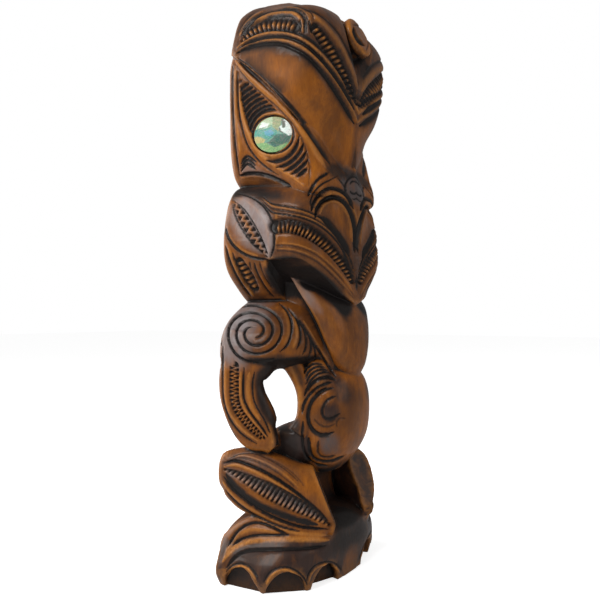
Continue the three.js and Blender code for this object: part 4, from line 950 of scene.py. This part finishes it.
# Which masses each set of cuts lies on, and whether both sides of the figure share it
LAYERS = [
    (("head",), carve_brow, True),
    (("boss",), carve_boss, False),
    (("cheek",), carve_eye_panel, True),
    (("nose", "cheek", "jaw"), carve_nose, True),
    (("jaw",), carve_jaw, True),
    (("jaw", "chest", "tongue"), paint_hollow_shade, True),
    (("shoulders", "arm", "forearm", "chest", "belly", "hand", "hips"), carve_trunk, True),
    (("thigh", "calf", "base"), carve_legs, True),
    (("base",), carve_base, True),
]

# How dark the plain wood of each mass is: 0 is orange, 1 is nearly black brown
TONES = {"head": 0.72, "cheek": 0.2, "nose": 0.3, "jaw": 0.5, "chest": 0.45, "tongue": 0.45, "belly": 0.12,
         "shoulders": 0.32, "hips": 1.0, "base": 1.0, "arm": 0.35, "forearm": 0.25, "thigh": 0.3, "calf": 0.4, "hand": 0.35,
         "boss": 0.22}


def box_blur(grid, reach):
    """Mean of a grid over a cube, reach cells each way."""
    for axis in range(3):
        total = np.cumsum(np.concatenate([np.repeat(grid.take([0], axis), reach + 1, axis), grid,
                                          np.repeat(grid.take([-1], axis), reach, axis)], axis), axis,
                          dtype=np.float64)
        n = grid.shape[axis]
        ahead = total.take(range(2 * reach + 1, 2 * reach + 1 + n), axis)
        grid = ((ahead - total.take(range(n), axis)) / (2 * reach + 1)).astype(np.float32)
    return grid


def tool_marks(points):
    """Shallow scallops that a small gouge leaves on the plain sides, in millimetres."""
    x, y, z = points.T
    rows = np.floor(z / 9 + 0.35 * np.sin(x / 13) + 0.3 * np.sin(y / 11))
    shift = np.mod(rows * 0.618, 1) * 14
    across = np.abs(np.mod(x + 0.7 * y + shift, 14) / 7 - 1)
    along = np.abs(np.mod(z / 9 + 0.35 * np.sin(x / 13) + 0.3 * np.sin(y / 11), 1) * 2 - 1)
    return 0.28 * np.maximum(across, along) ** 2


def in_scallops(points):
    """1 on the hollowed faces of the scalloped rim, fading just outside them."""
    share = np.zeros(len(points))
    for place_x, place_y, turn, radius in SCALLOPS:
        turn = math.radians(turn)
        dx, dy = np.abs(points[:, 0]) - place_x, points[:, 1] - place_y
        length = dx * math.sin(turn) - dy * math.cos(turn)
        across = dx * math.cos(turn) + dy * math.sin(turn)
        arch = np.hypot(across / radius, points[:, 2] / radius / SCALLOP_RISE)
        share = np.maximum(share, np.clip((1.0 - arch) / 0.06, 0, 1) * (np.abs(length) < SCALLOP_DEPTH + 2))
    return share


def hollow_shade(solid, origin, points, normals, kind):
    """Painted shade: 1 on the faces under the upper lip, which lie inside the jaw as it was before the hollow was cut.
    """
    cut, distance = mass_distance(solid, JAW)
    whole = np.full(solid.field.shape, 9.0, np.float32)
    whole[cut] = distance
    whole = np.concatenate([whole, whole[-2::-1]])
    share = np.clip((-sampled(whole, points, origin) - 0.8) / 1.6, 0, 1) * (points[:, 1] < 6)
    side_of_tongue = (kind == MASSES.index("tongue")) * np.clip((0.4 - normals[:, 2]) / 0.3, 0, 1)
    return share * (1 - side_of_tongue)


def painted_shade(points, normals, kind):
    """Painted shade: black on the faces in the gap between the arm and the body, between the legs, and under and round
    the boss.
    """
    x, y, z = points.T
    on = {name: kind == MASSES.index(name) for name in ("head", "boss", "shoulders", "arm", "hips", "base")}
    inward = -normals[:, 0] * np.sign(x)
    gap = np.clip((np.maximum(inward - 0.1, -normals[:, 2] - 0.25)) / 0.3, 0, 1) * (z > 108) * (z < 172)
    shaded = 0.9 * gap * (on["arm"] | on["shoulders"])
    between = np.clip((29 - np.abs(x)) / 4, 0, 1) * np.clip((-2 - y) / 5, 0, 1) * (z < 104)
    shaded = np.maximum(shaded, 0.88 * between * on["hips"])
    shaded = np.maximum(shaded, 0.8 * between * np.clip((z - 34) / 5, 0, 1) * on["base"])
    dy, dz = y - BOSS_CENTRE[1], z - BOSS_CENTRE[2]
    across = dy * math.sin(BOSS_TILT) + dz * math.cos(BOSS_TILT)
    ring = np.clip((BOSS_RADIUS + 3 - np.hypot(x, across)) / 1.5, 0, 1) * np.clip((5 - across) / 6, 0, 1)
    shaded = np.maximum(shaded, ring * on["head"] * (y < 0))
    face = -normals[:, 1] * math.cos(BOSS_TILT) + normals[:, 2] * math.sin(BOSS_TILT)
    return np.maximum(shaded, 0.8 * np.clip((0.2 - face) / 0.3, 0, 1) * np.clip((3 - across) / 6, 0, 1) * on["boss"])


def new_mesh(name, points, faces, attributes):
    mesh = bpy.data.meshes.new(name)
    mesh.vertices.add(len(points))
    mesh.vertices.foreach_set("co", np.asarray(points * MM, np.float32).ravel())
    mesh.loops.add(faces.size)
    mesh.loops.foreach_set("vertex_index", faces.astype(np.int32).ravel())
    mesh.polygons.add(len(faces))
    mesh.polygons.foreach_set("loop_start", np.arange(0, faces.size, faces.shape[1], dtype=np.int32))
    for key, value in attributes.items():
        mesh.attributes.new(key, "FLOAT", "POINT").data.foreach_set("value", value.astype(np.float32))
    mesh.update(calc_edges=True)
    mesh.validate()
    return mesh


def carved_body():
    solid = build_solid()
    field = np.concatenate([solid.field, solid.field[-2::-1]])
    mass = np.concatenate([solid.mass, solid.mass[-2::-1]])
    origin = np.array([solid.x[0], solid.y[0], solid.z[0]])
    points, faces, cells = surface_nets(field, origin)
    slopes = [sampled(g, points, origin) for g in np.gradient(field, STEP)]
    normals = np.stack(slopes, 1)
    normals /= np.maximum(np.linalg.norm(normals, axis=1), 1e-6)[:, None]
    nearest = np.clip(np.round((points - origin) / STEP).astype(int), 0, np.array(mass.shape) - 1)
    kind = mass[tuple(nearest.T)]
    filled = (field < 0).astype(np.float32)
    crease = sampled(box_blur(filled, int(round(3.0 / STEP))), points, origin)
    recess = sampled(box_blur(filled, int(round(8.0 / STEP))), points, origin)
    seen = seen_share(points, normals)
    tone = np.array([TONES[m] for m in MASSES])[kind]
    cut, lift, stain_and_shade, wear, grey_sheen = (np.zeros(len(points)) for _ in range(5))
    for names, carve, folded in LAYERS:
        on = np.isin(kind, [MASSES.index(n) for n in names])
        on &= seen > 0.01
        at = np.nonzero(on)[0]
        u, v, _ = project(unfold(points[at], folded))
        carving = Carving(u, v, tone[at])
        carve(carving)
        share = seen[at] if folded else seen[at] * 0 + 1
        cut[at] = np.maximum(cut[at], carving.cut * share)
        lift[at] = np.maximum(lift[at], carving.lift * share)
        stain_and_shade[at] = np.maximum(stain_and_shade[at], carving.stain_and_shade * share)
        wear[at] = np.maximum(wear[at], carving.wear * share)
        grey_sheen[at] = np.maximum(grey_sheen[at], carving.grey_sheen * share)
        tone[at] = tone[at] * (1 - share) + carving.tone * share
    tone = tone + (0.62 - tone) * (1 - seen) * 0.8
    # Painted shade: faces turned towards the figure's middle are darkened
    inward = -normals[:, 0] * np.sign(points[:, 0])
    tone = np.maximum(tone, 0.95 * np.clip((inward - 0.1) / 0.3, 0, 1))
    stain_and_shade = np.maximum(stain_and_shade, 0.5 * in_scallops(points))
    # Painted shade under the upper lip, in the gaps and round the boss
    stain_and_shade = np.maximum(stain_and_shade, hollow_shade(solid, origin, points, normals, kind))
    stain_and_shade = np.maximum(stain_and_shade, painted_shade(points, normals, kind))
    tone = np.maximum(tone, in_scallops(points))
    plain = 1 - np.clip(seen * 3, 0, 1)
    cut = np.maximum(cut, tool_marks(points) * plain)
    wear = wear * (1 - stain_and_shade) + 0.5 * np.clip((0.455 - crease) / 0.06, 0, 1) * (1 - stain_and_shade)
    # Painted shade: darker in creases and deep recesses
    stain_and_shade = np.maximum(stain_and_shade, np.clip((crease - 0.57) / 0.13, 0, 1) * 0.95)
    stain_and_shade = np.maximum(stain_and_shade, np.clip((recess - 0.64) / 0.2, 0, 1) * 0.95)
    height = lift * (1 - np.clip(cut / 0.8, 0, 1)) - cut
    moved = points + normals * height[:, None]
    low, high = np.array(cad_low) / MM, np.array(cad_high) / MM
    moved = np.clip(moved, low, high)
    mesh = new_mesh("fine_carving", moved, faces, {"stain_and_shade": stain_and_shade, "wear": wear, "tone": tone, "grey_sheen": grey_sheen})
    fine = bpy.data.objects.new("fine_carving", mesh)
    bpy.context.scene.collection.objects.link(fine)
    fewer = fine.modifiers.new("fewer", "DECIMATE")
    fewer.ratio = min(1.0, TRIANGLES / (2 * len(faces)))
    fewer.use_collapse_triangulate = True
    kept = bpy.data.meshes.new_from_object(fine.evaluated_get(bpy.context.evaluated_depsgraph_get()))
    bpy.data.objects.remove(fine)
    kept.name = "carving"
    places = np.empty(3 * len(kept.vertices), np.float32)
    kept.vertices.foreach_get("co", places)
    inner = 1e-6
    places = np.clip(places.reshape(-1, 3), np.array(cad_low) + inner, np.array(cad_high) - inner)
    kept.vertices.foreach_set("co", places.astype(np.float32).ravel())
    kept.polygons.foreach_set("use_smooth", np.ones(len(kept.polygons), bool))
    piece = bpy.data.objects.new("carving", kept)
    bpy.context.scene.collection.objects.link(piece)
    kept.materials.append(wood_material())
    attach(piece, "root")
    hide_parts("carved_figure")
    return piece


class Nodes:
    """Short ways to add and join nodes in one material."""

    def __init__(self, name):
        self.material = bpy.data.materials.new(name)
        self.material.use_nodes = True
        self.tree = self.material.node_tree
        self.shader = self.tree.nodes["Principled BSDF"]

    def put(self, socket, value):
        if isinstance(value, bpy.types.NodeSocket):
            self.tree.links.new(value, socket)
        elif value is not None:
            socket.default_value = value

    def add(self, kind, inputs=(), **settings):
        node = self.tree.nodes.new("ShaderNode" + kind)
        for key, value in settings.items():
            setattr(node, key, value)
        for key, value in dict(inputs).items():
            self.put(node.inputs[key], value)
        return node

    def attribute(self, name):
        return self.add("Attribute", attribute_name=name).outputs["Fac"]

    def math(self, operation, a, b=None, c=None, clamp=False):
        node = self.add("Math", operation=operation, use_clamp=clamp)
        for socket, value in zip(node.inputs, (a, b, c)):
            self.put(socket, value)
        return node.outputs[0]

    def mix(self, share, a, b):
        node = self.add("Mix", data_type="RGBA")
        self.put(node.inputs["Factor"], share)
        self.put(node.inputs[6], a)
        self.put(node.inputs[7], b)
        return node.outputs[2]

    def noise(self, scale, stretch=(1, 1, 1), detail=3.0, distortion=0.0, rough=0.5):
        place = self.add("TexCoord").outputs["Object"]
        mapping = self.add("Mapping", {"Vector": place, "Scale": stretch})
        node = self.add("TexNoise", {"Vector": mapping.outputs[0], "Scale": scale, "Detail": detail,
                                     "Distortion": distortion, "Roughness": rough})
        return node.outputs["Fac"]

    def between(self, value, low, high, to_low=0.0, to_high=1.0):
        node = self.add("MapRange", {"Value": value, "From Min": low, "From Max": high, "To Min": to_low,
                                     "To Max": to_high})
        return node.outputs[0]


def wood_material():
    n = Nodes("carved_wood")
    stain_and_shade, wear, tone, grey_sheen = (n.attribute(name) for name in ("stain_and_shade", "wear", "tone", "grey_sheen"))
    blotch = n.noise(26, (1, 1, 0.6), 4, 0.3)
    grain = n.noise(300, (1, 1, 0.12), 4, 0.8, 0.6)
    pores = n.noise(1500, (1, 1, 0.09), 2, 0.0, 0.6)
    speck = n.noise(520, (1, 1, 0.6), 3, 0.0, 0.65)
    streak = n.noise(140, (1, 1, 0.5), 4, 0.5, 0.6)
    orange = n.mix(n.between(grain, 0.35, 0.68), (0.270, 0.077, 0.005, 1), (0.360, 0.112, 0.008, 1))
    orange = n.mix(n.between(blotch, 0.44, 0.66, 0.0, 0.85), orange, (0.110, 0.034, 0.005, 1))
    brown = n.mix(n.between(grain, 0.3, 0.7), (0.026, 0.014, 0.012, 1), (0.038, 0.019, 0.015, 1))
    uneven = n.math("MULTIPLY_ADD", n.math("SUBTRACT", streak, 0.5), 1.1, tone)
    colour = n.mix(n.math("ADD", uneven, 0.0, clamp=True), orange, brown)
    colour = n.mix(n.math("MULTIPLY", n.between(pores, 0.56, 0.72), 0.35), colour, (0.040, 0.018, 0.009, 1))
    worn = n.math("MULTIPLY", wear, n.between(speck, 0.3, 0.62, 0.45, 0.95), clamp=True)
    colour = n.mix(worn, colour, (0.450, 0.172, 0.030, 1))
    # Grey patina together with a painted sheen of glancing light on the lacquer
    patina_and_sheen = n.math("MULTIPLY", grey_sheen, n.between(streak, 0.35, 0.65, 0.55, 1.0), clamp=True)
    colour = n.mix(patina_and_sheen, colour, (0.275, 0.238, 0.236, 1))
    # Real stain in the cuts and painted shade both darken the colour towards black here
    dark = n.math("MULTIPLY", stain_and_shade, n.between(speck, 0.25, 0.7, 1.25, 1.02), clamp=True)
    colour = n.mix(dark, colour, (0.0060, 0.0050, 0.0055, 1))
    n.put(n.shader.inputs["Base Color"], colour)
    rough = n.between(speck, 0.3, 0.7, 0.36, 0.5)
    n.put(n.shader.inputs["Roughness"], n.math("MULTIPLY_ADD", stain_and_shade, 0.25, rough))
    n.shader.inputs["Specular IOR Level"].default_value = 0.2
    n.shader.inputs["Specular Tint"].default_value = (1.0, 0.82, 0.68, 1)
    n.shader.inputs["Coat Weight"].default_value = 0.16
    n.shader.inputs["Coat Roughness"].default_value = 0.16
    height = n.math("ADD", n.math("MULTIPLY", grain, 0.5), n.math("MULTIPLY", speck, 0.5))
    bump = n.add("Bump", {"Height": height, "Strength": 0.25, "Distance": 0.0004})
    n.put(n.shader.inputs["Normal"], bump.outputs["Normal"])
    return n.material


# Shards of the shell, in shares of the disc's half length and half height, with their colours
SHARDS = [
    ([(-1.1, 0.1), (-0.9, 0.9), (0.0, 1.2), (0.35, 0.75), (-0.1, 0.45), (-0.55, 0.25)], (0.42, 0.52, 0.28)),
    ([(-0.75, 0.42), (-0.3, 0.35), (-0.2, 0.6), (-0.6, 0.75)], (0.88, 0.93, 0.82)),
    ([(-1.1, 0.3), (-0.6, 0.3), (-0.1, 0.4), (0.25, 0.2), (0.2, -0.1), (-0.2, -0.3), (-0.6, -0.05), (-1.1, -0.05)],
     (0.04, 0.27, 0.20)),
    ([(-0.45, 0.2), (-0.1, 0.25), (0.1, 0.05), (-0.1, -0.15), (-0.4, -0.02)], (0.04, 0.28, 0.44)),
    ([(0.0, 1.1), (0.45, 0.95), (0.4, 0.4), (0.3, 0.1), (0.0, 0.4)], (0.30, 0.28, 0.08)),
    ([(0.3, 0.3), (0.5, 0.1), (0.85, -0.15), (1.2, 0.1), (1.1, 0.7), (0.6, 0.95), (0.5, 0.5)], (0.93, 0.96, 0.92)),
    ([(0.42, 0.85), (0.62, 0.7), (0.66, 0.35), (0.5, 0.3), (0.46, 0.55)], (0.05, 0.025, 0.01)),
    ([(0.2, -0.05), (0.6, -0.05), (0.95, -0.2), (0.8, -0.5), (0.1, -0.8), (-0.2, -0.45)], (0.02, 0.06, 0.045)),
    ([(-1.1, -0.05), (-0.7, -0.1), (-0.35, -0.3), (-0.55, -0.5), (-1.1, -0.6)], (0.58, 0.42, 0.12)),
    ([(-0.9, -0.45), (-0.4, -0.45), (0.1, -0.75), (0.75, -0.5), (1.0, -0.7), (0, -1.3), (-0.9, -0.9)],
     (0.24, 0.42, 0.12)),
    ([(-0.2, -0.02), (0.2, -0.12), (0.6, -0.16), (0.98, -0.1), (0.98, -0.18), (0.55, -0.26), (0.15, -0.2)],
     (0.02, 0.05, 0.04)),
    ([(-0.4, -0.46), (0.05, -0.42), (0.5, -0.52), (0.85, -0.45), (0.5, -0.62), (0.0, -0.52)], (0.03, 0.06, 0.03)),
    ([(-0.95, 0.28), (-0.5, 0.36), (-0.05, 0.5), (-0.5, 0.42), (-0.95, 0.34)], (0.05, 0.12, 0.09)),
    ([(0.3, 0.34), (0.36, 0.1), (0.55, 0.02), (0.44, 0.14), (0.38, 0.36)], (0.06, 0.05, 0.03)),
]


def shell_colours(a, b):
    """Colour of the shell at places on the disc."""
    colour = np.tile(np.array([0.14, 0.30, 0.22]), (len(a), 1))
    for outline, shade in SHARDS:
        colour[within(outline + [outline[0]], a, b)] = shade
    return colour


def eye_disc(name, node, side):
    """A domed shell disc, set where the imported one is."""
    around, steps = 96, 30
    along, up, out = eye_axes()
    profile = [(i / steps, EYE_DOME * (1 - (i / steps) ** 2)) for i in range(1, steps + 1)]
    profile += [(1.0, -0.4), (1.0, -EYE_THICKNESS), (0.5, -EYE_THICKNESS)]
    turn = np.arange(around) * 2 * math.pi / around
    local = [(0.0, 0.0, EYE_DOME)]
    for radius, height in profile:
        local += [(radius * math.cos(t), radius * math.sin(t), height) for t in turn]
    local.append((0.0, 0.0, -EYE_THICKNESS))
    local = np.array(local)
    points = np.array(EYE_CENTRE) + local[:, :1] * EYE_HALF_LENGTH * along + local[:, 1:2] * EYE_HALF_HEIGHT * up \
        + local[:, 2:] * out
    points[:, 0] *= side
    faces = []
    for i in range(around):
        j = (i + 1) % around
        faces.append((0, 1 + i, 1 + j))
        for r in range(len(profile) - 1):
            a, b = 1 + r * around + i, 1 + r * around + j
            faces += [(a, a + around, b), (b, a + around, b + around)]
        last = 1 + (len(profile) - 1) * around
        faces.append((last + i, len(local) - 1, last + j))
    faces = np.array(faces)
    if side < 0:
        faces = faces[:, ::-1]
    mesh = new_mesh(name, points, faces, {})
    mesh.polygons.foreach_set("use_smooth", np.ones(len(mesh.polygons), bool))
    shade = mesh.color_attributes.new("shard", "FLOAT_COLOR", "POINT")
    colours = np.hstack([shell_colours(local[:, 0], local[:, 1]), np.ones((len(local), 1))])
    shade.data.foreach_set("color", colours.astype(np.float32).ravel())
    piece = bpy.data.objects.new(name, mesh)
    bpy.context.scene.collection.objects.link(piece)
    mesh.materials.append(shell_material())
    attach(piece, "root")
    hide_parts(node)
    return piece


def shell_material():
    if "shell_inlay" in bpy.data.materials:
        return bpy.data.materials["shell_inlay"]
    n = Nodes("shell_inlay")
    shard = n.add("Attribute", attribute_name="shard").outputs["Color"]
    flow = n.noise(120, (1, 1, 1.6), 5, 2.2, 0.6)
    bands = n.noise(420, (1, 1, 2.2), 3, 3.0, 0.6)
    ramp = n.add("ValToRGB", {"Fac": flow})
    stops = ramp.color_ramp.elements
    stops[0].position, stops[0].color = 0.30, (0.10, 0.24, 0.30, 1)
    stops[1].position, stops[1].color = 0.72, (0.85, 0.80, 0.70, 1)
    for place, colour in ((0.42, (0.20, 0.58, 0.50, 1)), (0.50, (0.42, 0.70, 0.50, 1)), (0.57, (0.62, 0.60, 0.62, 1)),
                          (0.64, (0.66, 0.52, 0.50, 1))):
        stops.new(place).color = colour
    colour = n.mix(0.2, shard, ramp.outputs["Color"])
    colour = n.mix(n.between(bands, 0.52, 0.68, 0.0, 0.75), colour, (0.06, 0.11, 0.10, 1))
    colour = n.mix(n.between(bands, 0.42, 0.28, 0.0, 0.4), colour, (0.70, 0.76, 0.66, 1))
    n.put(n.shader.inputs["Base Color"], colour)
    n.shader.inputs["Metallic"].default_value = 0.0
    n.shader.inputs["Roughness"].default_value = 0.3
    n.shader.inputs["Specular IOR Level"].default_value = 0.15
    n.shader.inputs["Coat Weight"].default_value = 0.05
    n.shader.inputs["Coat Roughness"].default_value = 0.15
    bump = n.add("Bump", {"Height": bands, "Strength": 0.12, "Distance": 0.0004})
    n.put(n.shader.inputs["Normal"], bump.outputs["Normal"])
    return n.material


def camera():
    data = bpy.data.cameras.new("camera")
    data.sensor_width = 36
    data.lens = 36 * FOCAL_PIXELS / PIXELS
    data.shift_y = (HORIZON_V - PIXELS / 2) / PIXELS
    data.clip_start, data.clip_end = 0.01, 20
    made = bpy.data.objects.new("camera", data)
    bpy.context.scene.collection.objects.link(made)
    made.location = (-CAMERA_AWAY * math.sin(CAMERA_TURN) * MM,
                     (CAMERA_PIVOT_Y - CAMERA_AWAY * math.cos(CAMERA_TURN)) * MM, CAMERA_HEIGHT * MM)
    made.rotation_euler = (math.pi / 2, 0, -CAMERA_TURN)
    bpy.context.scene.camera = made


def area_light(name, left, toward, high, size, power):
    """A soft square light aimed at the figure; left and toward are as the camera sees them, in metres."""
    look = Vector((math.sin(CAMERA_TURN), math.cos(CAMERA_TURN), 0))
    right = Vector((math.cos(CAMERA_TURN), -math.sin(CAMERA_TURN), 0))
    data = bpy.data.lights.new(name, "AREA")
    data.size = size
    data.energy = power
    made = bpy.data.objects.new(name, data)
    bpy.context.scene.collection.objects.link(made)
    target = Vector((0, 0, 0.23))
    made.location = target - right * left - look * toward + Vector((0, 0, high))
    made.rotation_euler = (target - made.location).to_track_quat("-Z", "Y").to_euler()


# Light from all round, against the white backdrop that the camera sees, and the glow of the white floor
ROOM_LIGHT = 0.28
FLOOR_GLOW = 0.75


def studio():
    mesh = bpy.data.meshes.new("floor")
    far = 6.0
    mesh.from_pydata([(-far, -far, 0), (far, -far, 0), (far, far, 0), (-far, far, 0)], [], [(0, 1, 2, 3)])
    floor = bpy.data.objects.new("floor", mesh)
    bpy.context.scene.collection.objects.link(floor)
    n = Nodes("pale_floor")
    n.shader.inputs["Base Color"].default_value = (0.8, 0.8, 0.8, 1)
    n.shader.inputs["Roughness"].default_value = 0.9
    n.shader.inputs["Specular IOR Level"].default_value = 0.1
    n.shader.inputs["Emission Color"].default_value = (1, 1, 1, 1)
    shown = n.add("LightPath").outputs["Is Camera Ray"]
    n.put(n.shader.inputs["Emission Strength"], n.math("MULTIPLY", shown, FLOOR_GLOW))
    mesh.materials.append(n.material)
    world = bpy.data.worlds.new("studio")
    world.use_nodes = True
    tree = world.node_tree
    sky = tree.nodes["Background"]
    sky.inputs["Color"].default_value = (1, 1, 1, 1)
    shown = tree.nodes.new("ShaderNodeLightPath").outputs["Is Camera Ray"]
    strength = tree.nodes.new("ShaderNodeMapRange")
    strength.inputs["To Min"].default_value = ROOM_LIGHT
    strength.inputs["To Max"].default_value = 1.0
    tree.links.new(shown, strength.inputs["Value"])
    tree.links.new(strength.outputs[0], sky.inputs["Strength"])
    bpy.context.scene.world = world
    bpy.context.scene.view_settings.view_transform = "Standard"
    area_light("key", 0.8, 0.9, 0.9, 0.8, 17)
    area_light("side", 1.2, -0.35, 0.35, 1.0, 13)
    area_light("fill", -1.1, 0.7, 0.4, 0.9, 3)


camera()
studio()
carved_body()
eye_disc("right_eye", "right_eye_shell", 1)
eye_disc("left_eye", "left_eye_shell", -1)
